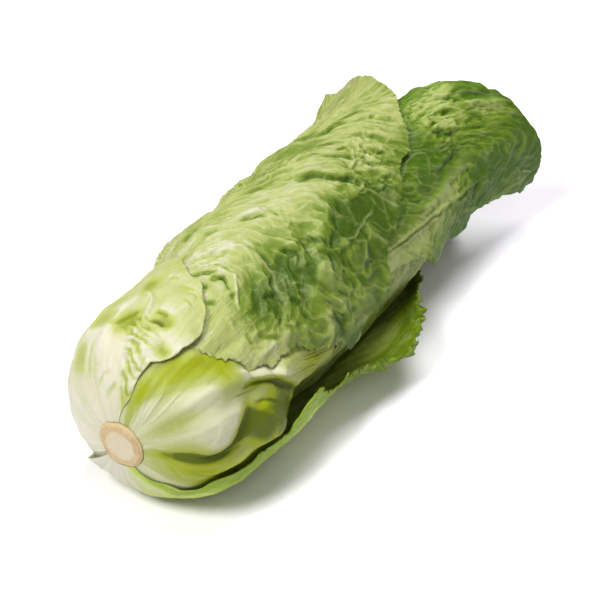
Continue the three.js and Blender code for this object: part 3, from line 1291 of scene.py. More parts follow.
def leaf_tissue() -> bpy.types.NodeTree:
    """The group that colours leaf tissue: white rib, through yellow-green, to deep green, with veins and mottling.

    Returns:
        The group, made once.
    """
    existing = bpy.data.node_groups.get("leaf_tissue")
    if existing:
        return existing
    inputs = dict.fromkeys(("Tint", "Vein", "Mottling", "Fibres"), "NodeSocketFloat")
    inputs |= dict.fromkeys(("Blade", "Fan"), "NodeSocketVector")
    inputs |= dict.fromkeys(("Rib", "Pale", "Mid", "Deep", "Vein Colour"), "NodeSocketColor")
    outputs = {"Colour": "NodeSocketColor", "Roughness": "NodeSocketFloat", "Height": "NodeSocketFloat"}
    nodes, source, target = new_group("leaf_tissue", inputs, outputs)
    place = nodes.add("ShaderNodeTexCoord").outputs["Object"]

    def pattern(kind: str, where: object, values: dict[str | int, object], **settings: object) -> Node:
        """A texture node that reads its place from a socket.

        Args:
            kind: the node's type name.
            where: the socket.
            values: default values of its other inputs.
            settings: its own settings.

        Returns:
            The node.
        """
        node = nodes.add(kind, values, **settings)
        nodes.join(where, node.inputs["Vector"])
        return node

    def streaks(across: float, along: float) -> Socket:
        """Noise drawn out along the fibres: those of the blade, and near the foot those of the fanning ribs.

        Args:
            across: millimetres from one streak to the next.
            along: millimetres that a streak is long.

        Returns:
            The noise's socket.
        """
        both = []
        for key in ("Blade", "Fan"):
            scaled = nodes.add("ShaderNodeVectorMath", {1: (1.0 / across, 1.0 / along, 0.0)}, operation="MULTIPLY")
            nodes.join(source.outputs[key], scaled.inputs[0])
            noise = pattern("ShaderNodeTexNoise", scaled.outputs[0], {"Scale": 1.0, "Detail": 2.0, "Roughness": 0.55})
            both.append(noise.outputs["Fac"])
        share = nodes.add("ShaderNodeSeparateXYZ")
        nodes.join(source.outputs["Blade"], share.inputs[0])
        return nodes.mix(share.outputs[2], both[1], both[0], "FLOAT")

    def lines(value: Socket, width: float) -> Socket:
        """Thin lines where noise crosses its middle value."""
        away = nodes.math("ABSOLUTE", nodes.math("SUBTRACT", value, 0.5))
        return nodes.math("SUBTRACT", 1.0, nodes.ramp(away, 0.0, width))

    blotch = pattern("ShaderNodeTexNoise", place, {"Scale": 95.0, "Detail": 4.0, "Roughness": 0.6}).outputs["Fac"]
    speck = pattern("ShaderNodeTexNoise", place, {"Scale": 620.0, "Detail": 3.0, "Roughness": 0.65}).outputs["Fac"]
    drift = pattern("ShaderNodeTexNoise", place, {"Scale": 210.0, "Detail": 2.0}).outputs["Color"]
    drifted = nodes.add("ShaderNodeVectorMath", {1: (0.006, 0.006, 0.006)}, operation="MULTIPLY_ADD")
    nodes.join(drift, drifted.inputs[0])
    nodes.join(place, drifted.inputs[2])
    net = pattern("ShaderNodeTexVoronoi", drifted.outputs[0], {"Scale": 300.0}, feature="DISTANCE_TO_EDGE")
    threads = nodes.math("SUBTRACT", 1.0, nodes.ramp(net.outputs["Distance"], 0.0, 0.09))
    fine, coarse = streaks(1.2, 13.0), streaks(3.6, 30.0)
    thin_lines = nodes.math("MULTIPLY", lines(coarse, 0.035), source.outputs["Fibres"])
    grain = nodes.math("MULTIPLY", nodes.math("SUBTRACT", fine, 0.5), source.outputs["Fibres"])
    uneven = nodes.total(-0.75, (blotch, 1.0), (speck, 0.5))
    mottled = (uneven, source.outputs["Mottling"])
    tint = nodes.total(source.outputs["Tint"], mottled, (threads, -0.025), (grain, -0.34), (thin_lines, -0.10))
    colour = nodes.mix(nodes.ramp(tint, 0.02, 0.36), source.outputs["Rib"], source.outputs["Pale"])
    colour = nodes.mix(nodes.ramp(tint, 0.34, 0.68), colour, source.outputs["Mid"])
    colour = nodes.mix(nodes.ramp(tint, 0.66, 1.0), colour, source.outputs["Deep"])
    veined = nodes.math("MULTIPLY", source.outputs["Vein"], 0.6, clamp=True)
    colour = nodes.mix(veined, colour, source.outputs["Vein Colour"])
    nodes.join(colour, target.inputs["Colour"])
    nodes.join(nodes.total(0.42, (speck, 0.2)), target.inputs["Roughness"])
    height = nodes.total(0.0, (speck, 0.16), (threads, 0.09), (blotch, 0.25), (grain, 0.9), (thin_lines, 0.45))
    nodes.join(height, target.inputs["Height"])
    return nodes.tree


@dataclass(frozen=True)
class LeafFinish:
    """The colours and gloss of one kind of leaf."""

    name: str
    rib: Colour = linear(190, 187, 166)
    pale: Colour = linear(152, 160, 92)
    mid: Colour = linear(102, 122, 36)
    deep: Colour = linear(60, 84, 8)
    vein: Colour = linear(160, 168, 108)
    mottling: float = 0.18
    fibres: float = 1.0
    bump: float = 0.5
    gloss: float = 0.03
    gloss_roughness: float = 0.32
    shine: float = 0.2
    scatter: float = 0.12
    scatter_colour: Colour = (0.7, 1.0, 0.25)
    scatter_reach: float = 0.0016

    def material(self) -> bpy.types.Material:
        """Makes the finish, once.

        Returns:
            The material.
        """
        existing = bpy.data.materials.get(self.name)
        if existing:
            return existing
        material, nodes, shader = new_material(self.name)
        tissue = nodes.add("ShaderNodeGroup", node_tree=leaf_tissue())
        for key, output in (("Tint", "Fac"), ("Vein", "Fac"), ("Blade", "Vector"), ("Fan", "Vector")):
            mark = nodes.add("ShaderNodeAttribute", attribute_name=key.lower())
            nodes.join(mark.outputs[output], tissue.inputs[key])
        colours = {"Rib": self.rib, "Pale": self.pale, "Mid": self.mid, "Deep": self.deep, "Vein Colour": self.vein}
        nodes.dress(tissue, {**colours, "Mottling": self.mottling, "Fibres": self.fibres})
        looks = {
            "Base Color": tissue.outputs["Colour"],
            "Roughness": tissue.outputs["Roughness"],
            "Normal": nodes.bump(tissue.outputs["Height"], self.bump),
            "Specular IOR Level": self.shine,
            "Coat Weight": self.gloss,
            "Coat Roughness": self.gloss_roughness,
            "Subsurface Weight": self.scatter,
            "Subsurface Radius": self.scatter_colour,
            "Subsurface Scale": self.scatter_reach,
        }
        nodes.dress(shader, looks)
        return material


@dataclass(frozen=True)
class StemFinish:
    """The cut stem: cream pith, a tan ring of strands round it, and a pale rim."""

    name: str = "cut_stem_flesh"
    pith: Colour = linear(188, 179, 152)
    ring: Colour = linear(180, 158, 116)
    brown: Colour = linear(166, 136, 92)
    rim: Colour = linear(184, 166, 118)
    bump: float = 0.35
    scatter: float = 0.12
    scatter_colour: Colour = (1.0, 0.8, 0.5)
    scatter_reach: float = 0.0015

    def material(self) -> bpy.types.Material:
        """Makes the finish.

        Returns:
            The material.
        """
        material, nodes, shader = new_material(self.name)
        place = nodes.add("ShaderNodeTexCoord").outputs["Object"]
        patches = nodes.add("ShaderNodeTexNoise", {"Scale": 170.0, "Detail": 4.0, "Roughness": 0.6})
        grain = nodes.add("ShaderNodeTexNoise", {"Scale": 900.0, "Detail": 3.0, "Roughness": 0.7})
        strands = nodes.add("ShaderNodeTexVoronoi", {"Scale": 620.0})
        for node in (patches, grain, strands):
            nodes.join(place, node.inputs["Vector"])
        pith = nodes.add("ShaderNodeAttribute", attribute_name="pith").outputs["Fac"]
        bark = nodes.add("ShaderNodeAttribute", attribute_name="bark").outputs["Fac"]
        dots = nodes.math("SUBTRACT", 1.0, nodes.ramp(strands.outputs["Distance"], 0.15, 0.5))
        browned = nodes.math("MULTIPLY", nodes.ramp(patches.outputs["Fac"], 0.45, 0.68), 0.8)
        ring = nodes.mix(browned, self.ring, self.brown)
        ring = nodes.mix(nodes.math("MULTIPLY", dots, 0.35), ring, self.brown)
        mealy = nodes.math("MULTIPLY", nodes.ramp(grain.outputs["Fac"], 0.4, 0.7), 0.35)
        colour = nodes.mix(pith, ring, nodes.mix(mealy, self.pith, self.ring))
        looks = {
            "Base Color": nodes.mix(bark, colour, self.rim),
            "Roughness": nodes.total(0.55, (grain.outputs["Fac"], 0.25)),
            "Normal": nodes.bump(nodes.total(grain.outputs["Fac"], (dots, 0.6)), self.bump),
            "Subsurface Weight": self.scatter,
            "Subsurface Radius": self.scatter_colour,
            "Subsurface Scale": self.scatter_reach,
        }
        nodes.dress(shader, looks)
        return material


@dataclass
class WrapperLeaf(Leaf):
    """The outermost leaf: it lies under the head, and its toothed margin stands off on the -Y side."""

    name: str = "wrapper_leaf"
    slot: Slot = Slot.DEEP_GREEN
    depth: float = 0.0
    seed: int = 21
    left: Stations = (
        (0, 150), (4, 138), (7, 131), (9.5, 131), (14.5, 121), (16.5, 115), (20, 111), (26, 108.5), (31, 107),
        (37, 104), (44, 104), (51, 105), (56, 103), (59, 100), (63, 98), (65.5, 94), (73, 93), (78, 93.5), (82, 97),
        (90, 103), (106, 107), (129, 108.5), (143, 108), (159, 105), (176, 107), (194, 116), (214, 130), (232, 152),
    )
    right: Stations = ((0, 222), (8, 226), (24, 222), (60, 236), (120, 245), (180, 238), (210, 224), (232, 200))
    left_lift: Stations = (
        (4, 0), (20, 0.4), (31, 1), (44, 2), (57, 3.8), (75, 5.3), (104, 6), (126, 11), (143, 19), (158, 15),
        (175, 5), (192, 0),
    )
    right_lift: Stations = ((2, 0), (8, 3), (20, 0), (110, 3), (180, 4), (215, 1))
    inner_step: int = 2
    tooth_height: float = 4.4
    tooth_gap: float = 3.0
    tooth_share: Stations = ((10, 0.15), (30, 0.3), (70, 0.4), (106, 1), (130, 1.6), (176, 1.2), (220, 0.6))
    wave_height: float = 0.9
    frill_height: float = 0.7
    flow: Stations = ((-180, 145), (140, 145), (165, 90), (190, 35), (360, 35))
    wrinkling: Wrinkling = Wrinkling(
        broad=0.8, long=0.5, ridge=0.3, thread=0.2, slit=0.0, net=0.35, fine=0.16, pit=0.3, streak=0.4,
    )
    tint: Stations = ((2, 0.12), (10, 0.26), (24, 0.42), (44, 0.58), (66, 0.7), (90, 0.85), (120, 1), (230, 1))
    folds: tuple[Fold, ...] = (
        Fold(((3, 186), (40, 184), (90, 182), (150, 181), (222, 178)), 6, 2.2, -0.3, 0.2, 0.7),
        Fold(((60, 180), (84, 164), (104, 146)), 1.6, 0.9, -0.2, 0.2, 0.7),
        Fold(((96, 179), (118, 162), (136, 142)), 1.6, 0.9, -0.2, 0.2, 0.7),
        Fold(((130, 178), (150, 162), (164, 146)), 1.4, 0.9, -0.2, 0.2, 0.7),
        Fold(((70, 186), (96, 204), (120, 224)), 1.6, 0.9, -0.2, 0.2, 0.7),
        Fold(((110, 185), (134, 202), (154, 220)), 1.5, 0.9, -0.2, 0.2, 0.7),
    )
    bosses: tuple[Boss, ...] = (Boss(4, 222, 20, 36, 0, -0.3),)
    hug_end: tuple[float, float] = (66.0, 96.0)
    spike: float = 6.0
    spike_gap: float = 4.6

    def standing(self, distance: Array, across: Array) -> Array:
        """The margin hugs the head near the foot, and flares further along.

        Args:
            distance: distance from the cut.
            across: place across the leaf, from -1 to 1.

        Returns:
            The lift in millimetres.
        """
        edge = np.clip((np.abs(across) - 1.0 + self.curl_share) / self.curl_share, 0.0, 1.0)
        hug = (1.0 - smoothstep(distance, *self.hug_end)) * (across < 0.0)
        flare = smoothstep(distance, 100.0, 125.0) * (across < 0.0)
        more = hug * (edge * (2.0 - edge) - edge**2) + flare * (np.clip(1.6 * edge - 0.6, 0.0, 1.0) - edge**2)
        notch = np.abs((distance / self.spike_gap) % 1.0 - 0.5) * 2.0
        tall = 0.65 + 0.35 * np.sin(1.7 * distance)
        spike = np.clip(1.0 - 1.5 * notch, 0.0, 1.0) * tall * smoothstep(np.abs(across), 0.86, 1.0)
        spike = spike * flare * (1.0 - smoothstep(distance, 178.0, 196.0))
        return super().standing(distance, across) + more * flowing(self.left_lift, distance) + self.spike * spike

    def extra_tint(self, ground: Ground) -> Array:
        """The blade is deep green along its margin and painted paler inside, as painted light where it lies in shade
        under the head; near the foot its left margin is painted darker, as painted shade where the light falls on it.

        Args:
            ground: the leaf's vertices.

        Returns:
            The tint that this adds at each vertex.
        """
        # painted light: paler inside the blade, which lies in shade under the head
        inside = smoothstep(ground.edge, 3.0, 14.0) * smoothstep(ground.distance, 40.0, 110.0)
        # painted shade: darker along the lit left margin near the foot
        rim = (1.0 - smoothstep(ground.edge, 4.0, 16.0)) * (ground.across < 0.0)
        return -0.50 * inside + 0.34 * rim * (1.0 - smoothstep(ground.distance, 24.0, 60.0))


@dataclass
class LeftBaseLeaf(Leaf):
    """The short white-ribbed leaf left of the stem, with pleats along its margin and a pale lobe on top."""

    name: str = "left_base_leaf"
    slot: Slot = Slot.WHITE_RIB
    depth: float = 1.9
    seed: int = 31
    left: Stations = ((0, -138), (12, -142), (24, -134), (44, -125), (56, -118), (66, -106), (74, -90), (81, -68))
    right: Stations = (
        (0, -8), (3, 2), (5, 7), (10, 7.5), (14, 9.5), (16, 10), (19, 16), (23, 20), (28, 21), (33.5, 23), (38, 23),
        (45, 20), (52, 15), (57, 9), (63, 3), (66, -6), (72, -14), (81, -27),
    )
    lift: Stations = ((6, 0), (20, 1.6), (50, 1.2), (70, 0.3), (81, 0))
    right_lift: Stations = ((3, 0), (10, -0.8), (24, -1.5), (38, -0.8), (57, -0.4), (66, 0), (81, 0))
    thickness: float = 1.1
    spacing: float = 0.65
    tooth_height: float = 0.5
    wave_height: float = 0.55
    frill_height: float = 0.5
    tip_bulge: float = 4.0
    wrinkling: Wrinkling = Wrinkling(
        long=0.7, ridge=0.4, thread=0.2, slit=0.4, net=0.15, base_ridge=0.2, pit=0.3, streak=0.4,
    )
    tint: Stations = ((2, 0.04), (26, 0.08), (44, 0.22), (60, 0.26), (80, 0.36))
    folds: tuple[Fold, ...] = (
        Fold(((3, 0), (10, -7), (20, -8), (30, -8), (40, -10), (46, -14), (52, -28)), 2.2, 1.1, -0.08),
        Fold(((32.5, -5), (32.5, 1), (31.5, 6)), 1.3, -2.4, 0.5),
        Fold(((37.5, -6), (38, -1), (37, 4)), 1.3, -2.4, 0.5),
        Fold(((50, 2), (50.5, 5), (48, 10)), 0.9, -1.2, 0.25),
        Fold(((54, 1), (55, 4), (54, 9)), 0.9, -1.2, 0.25),
        Fold(((57.5, -7), (58, -1), (57, 5)), 0.9, -1.3, 0.25),
        Fold(((60.5, -17), (62.5, -14), (63, -10)), 1, -1.6, 0.35),
        Fold(((38, -12), (36, -14), (30, -22), (26, -30)), 1.4, -1.7, 0.35),
        Fold(((4, -26), (6, -18), (7, -8)), 0.9, -0.9, 0.25),
        Fold(((5.5, -34), (8.5, -26), (10, -14)), 0.9, -0.8, 0.22),
        Fold(((8, -44), (14, -40), (22, -38)), 2, -1, 0.2),
        Fold(((16, -60), (30, -58), (44, -56)), 2.2, -1, 0.15),
        Fold(((20, -48), (34, -46), (48, -44)), 2.4, 1.2, -0.05),
        Fold(((18, -28), (30, -27), (42, -27)), 1.8, 0.8, -0.05),
    )
    bosses: tuple[Boss, ...] = (
        Boss(17, -52, 6, 7, -0.9, 0.4), Boss(20, -27, 8, 4, 0.9, -0.08), Boss(32, -38, 5, 9, -1.1, 0.36),
        Boss(29, -17, 6, 7, -1.2, 0.42), Boss(34, 3, 4, 5, -1.4, 0.45), Boss(22, 13, 3.5, 4, -1.2, 0.5),
        Boss(40, 14, 9, 7, 0.8), Boss(53, -22, 6, 3.5, -0.7, 0.3), Boss(3, 2, 2.5, 3, 0.4, 0.2),
        Boss(30, -75, 14, 6, -0.5, 0.2), Boss(62, -60, 14, 10, 0, 0.12, 0.5),
    )
    pleat_line: Stations = ((2, 4), (6, 4), (10, 3), (15, 1), (20, -3), (25, -5), (40, -6))
    pleat_width: float = 7.5
    pleat_gap: float = 4.0
    pleat_height: float = 3.6

    def pleats(self, ground: Ground) -> tuple[Array, Array]:
        """The row of pleats that gathers the blade beside the rib.

        Args:
            ground: the leaf's vertices.

        Returns:
            How much each place belongs to the row, and the pleats' form from 0 in a valley to 1 on a crest.
        """
        noise = Noise(37)
        a, b = ground.distance, ground.round
        off = b - flowing(self.pleat_line, a) * MM_PER_DEGREE
        width = self.pleat_width * (1.0 + 0.45 * noise.soft(a / 4.0, a * 0.0 + 5.0))
        belongs = np.exp(-((off / width) ** 4)) * smoothstep(a, 2.0, 5.0) * (1.0 - smoothstep(a, 30.0, 37.0))
        place = a + 0.3 * off + 2.2 * noise.soft(a / 6.0, b / 9.0) + 0.6 * noise.soft(a / 2.5, b / 2.5)
        tall = 0.65 + 0.5 * noise.soft(a / 3.5 + 9.0, b / 8.0)
        return belongs * np.clip(tall, 0.15, 1.0), np.abs(np.cos(math.pi * (place / self.pleat_gap))) ** 0.6

    def extra_height(self, ground: Ground) -> Array:
        """The pleats stand up more towards their middle."""
        belongs, form = self.pleats(ground)
        return self.pleat_height * belongs * (form - 0.45)

    def extra_tint(self, ground: Ground) -> Array:
        """The pleats are yellow-green in their valleys and pale on their crests."""
        belongs, form = self.pleats(ground)
        return belongs * (0.70 - 0.64 * form)


@dataclass
class CrownLeaf(Leaf):
    """The big crinkled leaf over the top, with a ragged lower margin, a toothed right margin and a tip lobe."""

    name: str = "crown_leaf"
    slot: Slot = Slot.LIGHT_GREEN
    depth: float = 3.8
    seed: int = 41
    left: Stations = ((0, -66), (40, -84), (80, -95), (150, -100), (222, -97), (250, -90), (266, -82), (275, -70))
    right: Stations = (
        (0, -14), (24, 8), (33, 24), (36, 36), (40, 41), (44, 46), (47, 56), (57, 61), (60, 66), (66, 63), (78, 66),
        (85, 73), (94, 77), (103, 82), (113, 93), (121, 91), (128, 87), (141, 85), (152, 82), (157, 68), (160, 62.5),
        (171, 58), (184, 50), (193, 44), (202, 35), (216, 31), (229, 21), (235, 13), (250, 0), (258, -15), (267, -32),
        (275, -52),
    )
    lift: Stations = ((82, 0), (100, 3.6), (242, 3.6), (262, 8), (275, 11))
    left_lift: Stations = ((228, 0), (246, 3.5), (262, 5.5), (275, 5))
    right_lift: Stations = ((24, 0), (36, -0.4), (60, -0.4), (80, 0.4), (120, 2), (150, 2), (165, 0.5))
    spacing: float = 0.74
    tooth_height: float = 1.6
    tooth_gap: float = 3.6
    tooth_share: Stations = (
        (0, 0.8), (44, 1.6), (90, 1.6), (120, 0.8), (150, 0.5), (200, 0.5), (218, 1.1), (238, 1.1), (246, 0.3),
        (276, 0.25),
    )
    wave_height: float = 0.9
    frill_height: float = 0.7
    tip_bulge: float = 1.5
    flow: Stations = ((-180, 14), (-60, 16), (-30, 22), (0, 42), (20, 56), (50, 68), (180, 75))
    early_flow: Stations = (
        (-180, 14), (-60, 16), (-30, 25), (-5, 60), (5, 90), (20, 116), (35, 122), (60, 100), (180, 90),
    )
    wrinkling: Wrinkling = Wrinkling(
        long=1.15, ridge=1.0, thread=0.42, slit=1.5, net=0.34, fine=0.34, vein=0.35, pit=1.1, pit_gap=4.4,
    )
    tint: Stations = ((30, 0.24), (52, 0.3), (75, 0.36), (100, 0.42), (180, 0.48), (276, 0.5))
    least_tint: Stations = ((36, 0.12), (70, 0.16), (110, 0.3), (276, 0.34))
    folds: tuple[Fold, ...] = (
        Fold(((110, -10), (113, -7), (117, -2), (122, 4)), 1.3, -3.2, 0.6),
        Fold(((149, -4), (154, 0), (160, 4), (162, 10), (166, 17), (172, 23), (175, 27)), 2.5, -5.2, 0.7),
        Fold(((175, -1), (179, 4), (183, 10), (187, 12)), 1.9, -3.6, 0.6),
        Fold(((183, 2), (187, 3), (191, 5)), 1, -2, 0.45),
        Fold(((66, -12), (69, -8), (72, -3), (73.5, 3), (74.5, 7)), 1.6, -3.4, 0.6),
        Fold(((67.5, 4), (70, 8), (73.5, 12.5)), 1.9, -3.4, 0.65),
        Fold(((80, -6), (83, -3.5), (88, -1), (90, 1)), 1.4, -2.3, 0.4),
        Fold(((78, -29), (83, -26), (90, -23), (97, -20)), 2.8, -2.6, 0.2),
        Fold(((91, -34), (98, -31), (104, -29)), 2.2, -2.5, 0.35),
        Fold(((95, -21), (99, -18), (103, -16)), 1.2, -1.6, 0.3),
        Fold(((134, -25), (138, -21), (141, -17), (143, -14)), 1.2, -2.2, 0.45),
        Fold(((185, -29), (191, -27), (197, -24), (203, -20)), 1.9, -2.8, 0.4),
        Fold(((193, -18), (198, -16), (204, -15), (210, -14), (217, -11)), 2, -3.4, 0.5),
        Fold(((221, 4), (223, 0), (226, 1), (228, 5)), 1, -1.6, 0.35),
        Fold(((196, 13), (199, 18), (203, 25)), 1.3, -2.2, 0.5),
        Fold(((188, 19), (191, 23), (195, 29)), 1.4, -2.4, 0.5),
        Fold(((157, 14), (159, 19), (162, 22)), 1, -1.5, 0.35),
        Fold(((227, -15), (229, -8), (230, -2), (231, 4)), 1.5, -1.4, 0.2),
        Fold(((104, 20), (108, 25), (109.5, 31)), 1.6, -2.5, 0.5),
        Fold(((121, 26), (124, 30), (126, 35), (127, 39)), 1.6, -2.8, 0.5),
        Fold(((112, 19), (113.5, 23), (115, 28)), 1, -1.6, 0.35),
        Fold(((77, 33), (81, 34.5), (85, 37), (87, 41)), 1.9, -3.4, 0.6),
        Fold(((88, 43), (90, 47), (93, 51)), 1.4, -2.2, 0.4),
        Fold(((56.5, 9), (57, 13), (59, 17)), 1.6, -2.5, 0.5),
        Fold(((62, 2), (63.5, 4), (65, 7)), 1.5, -2.4, 0.5),
        Fold(((67, 19), (68, 23)), 1.8, -2, 0.4),
        Fold(((62, 44), (65, 50), (69, 54), (72, 58)), 1.9, -2.4, 0.3),
        Fold(((58.5, 40), (57, 44), (57, 49)), 1.3, -2.2, 0.3),
        Fold(((137, 33), (132, 37), (127, 42)), 2, -2, 0.35),
        Fold(((142, 28), (141, 33), (138, 37)), 1.6, -1.6, 0.3),
        Fold(((150, 34), (153, 38), (154, 43)), 1.1, -1.6, 0.3),
        Fold(((103, -8), (106, -9), (108, -6)), 0.9, -1.2, 0.25),
        Fold(((95, 5), (97, 12), (96, 20), (92, 27)), 1.4, -1.7, 0.3),
        Fold(((99, 8), (102, 15), (101.5, 22)), 1.1, -1.4, 0.3),
        Fold(((86, 12), (84, 19), (80, 25), (75, 31)), 1.2, -1.2, 0.2),
        Fold(((103, 57), (106, 60), (110, 61)), 0.9, -1, 0.2),
        Fold(((98, 62), (101, 66), (104, 67)), 0.9, -1, 0.2),
        Fold(((107, 66), (110, 70), (113, 71)), 0.9, -1.1, 0.2),
        Fold(((114, 58), (118, 62), (121, 68)), 1, -1.1, 0.2),
        Fold(((162, 30), (167, 33), (172, 34)), 1.2, -1.6, 0.3),
        Fold(((175, 36), (180, 38), (186, 38)), 1.3, -1.8, 0.35),
        Fold(((206, 8), (210, 13), (212, 19)), 1.1, -1.3, 0.25),
        Fold(((80, 10), (77.5, 12.5), (73, 17), (68, 23), (62, 30)), 0.9, 1.3, -0.5, 0, 0.9),
        Fold(((64, 33), (63.5, 38), (62, 46)), 0.8, 0.7, -0.1, 0, 0.6),
        Fold(((88, 13), (86, 17), (83, 21)), 0.7, 0.7, -0.05, 0, 0.6),
        Fold(((95, 30), (93, 34), (91, 38), (88.5, 42)), 0.8, 1.1, -0.1, 0.2, 0.7),
        Fold(((97.5, 31), (95.5, 35), (93, 40)), 0.7, 0.9, -0.1, 0.2, 0.7),
        Fold(((176, 25), (173, 28), (168, 29.5), (163, 28)), 1, 1.7, -0.3, 0.2, 0.8),
        Fold(((193, 4), (190, 9), (186, 13), (181, 15.5), (175, 16)), 1, 1.5, -0.25, 0.2, 0.8),
        Fold(((82, -9), (87, -6.5), (93, -4)), 1.5, 1.5, -0.18, 0.1, 0.5),
        Fold(((153, -27), (159, -27), (165, -28.5), (171, -27)), 1.3, 1.6, -0.15, 0.2, 0.5),
        Fold(
            (
                (131, 43), (135, 41), (140, 43), (144, 45), (149, 44), (155, 44), (159, 41), (163, 42), (166, 41),
                (168, 37),
            ),
            0.8, 0.9, -0.1, 0.1, 0.8,
        ),
        Fold(((150, 20), (143, 24), (134, 28), (124, 33), (115, 40)), 5, 1.6, -0.1, 0),
        Fold(((55, 24), (56, 30), (53, 36)), 1, 0.8, -0.1, 0, 0.5),
        Fold(((113, -12), (117, -7), (123, -1)), 1.6, 1.2, -0.12, 0, 0.3),
        Fold(((150, -9), (156, -5), (164, 1), (170, 9)), 2.4, 1.4, -0.1, 0, 0.2),
        Fold(((244, -7), (246, -2), (248, 4)), 0.7, 0.5, -0.12, 0, 0.6),
        Fold(((241, -7), (243, -2), (245, 4)), 0.7, 0.5, -0.12, 0, 0.6),
    )
    bosses: tuple[Boss, ...] = (
        Boss(67, 13, 7, 8, 1.2, -0.02), Boss(84, 10, 12, 10, 1.6), Boss(94, -30, 18, 8, 0.6, 0.02),
        Boss(130, -4, 16, 15, 1.5, -0.04), Boss(146, 12, 8, 12, 0.8, -0.1), Boss(172, -14, 15, 12, 1.4, -0.03),
        Boss(212, 6, 18, 14, 1.2, -0.02), Boss(138, 18, 12, 9, 0.6, -0.08), Boss(92, 45, 14, 14, -0.6, 0.2),
        Boss(108, 36, 10, 8, -0.8, 0.22), Boss(148, 38, 12, 10, -1, 0.2), Boss(72, 47, 10, 10, -0.5, 0.1),
        Boss(68, 58, 10, 8, 0.2, -0.08), Boss(178, 34, 12, 10, -0.8, 0.18), Boss(170, 48, 14, 10, -0.4, 0.22),
        Boss(135, 58, 16, 14, 0, 0.1), Boss(196, 20, 12, 12, 0, 0, 1), Boss(165, 22, 10, 10, 0, 0, 0.9),
        Boss(105, 63, 12, 12, 0, 0, 0.9), Boss(64, -21, 11, 11, 0, -0.4), Boss(182, 24, 24, 12, 0, -0.04),
        Boss(72, 36, 12, 10, 0, 0.22), Boss(148, 31, 15, 10, 0, 0.22), Boss(120, 46, 16, 12, 0, 0.1),
        Boss(166, -22, 34, 15, 0, 0.22), Boss(110, -32, 20, 12, 0, 0.08), Boss(128, -7, 24, 12, 0, -0.2),
        Boss(115, 28, 12, 10, 0, 0, 0.9),
    )

    def extra_tint(self, ground: Ground) -> Array:
        """The side turned away from the light is painted greener, as painted shade, and the top near -30 degrees a
        little paler, as painted light; the +Y side is greener, and so is the fold above the lower margin.

        Args:
            ground: the leaf's vertices.

        Returns:
            The tint that this adds at each vertex.
        """
        wander = ground.turn + 7.0 * Noise(43).soft(ground.distance / 26.0, ground.round / 18.0)
        # painted shade: greener on the side turned away from the light
        down = smoothstep(wander, 4.0, 34.0) * smoothstep(ground.distance, 56.0, 84.0)
        back = smoothstep(-ground.turn, 45.0, 95.0) * smoothstep(ground.distance, 70.0, 130.0)
        # painted light: a little paler near -30 degrees, where the light falls
        top = np.exp(-(((ground.turn + 30.0) / 26.0) ** 2)) * (1.0 - smoothstep(ground.distance, 80.0, 190.0))
        low = np.exp(-(((ground.turn - 30.0) / 14.0) ** 2) - ((ground.distance - 88.0) / 26.0) ** 2)
        return 0.36 * down + 0.22 * low + 0.10 * back - 0.03 * top


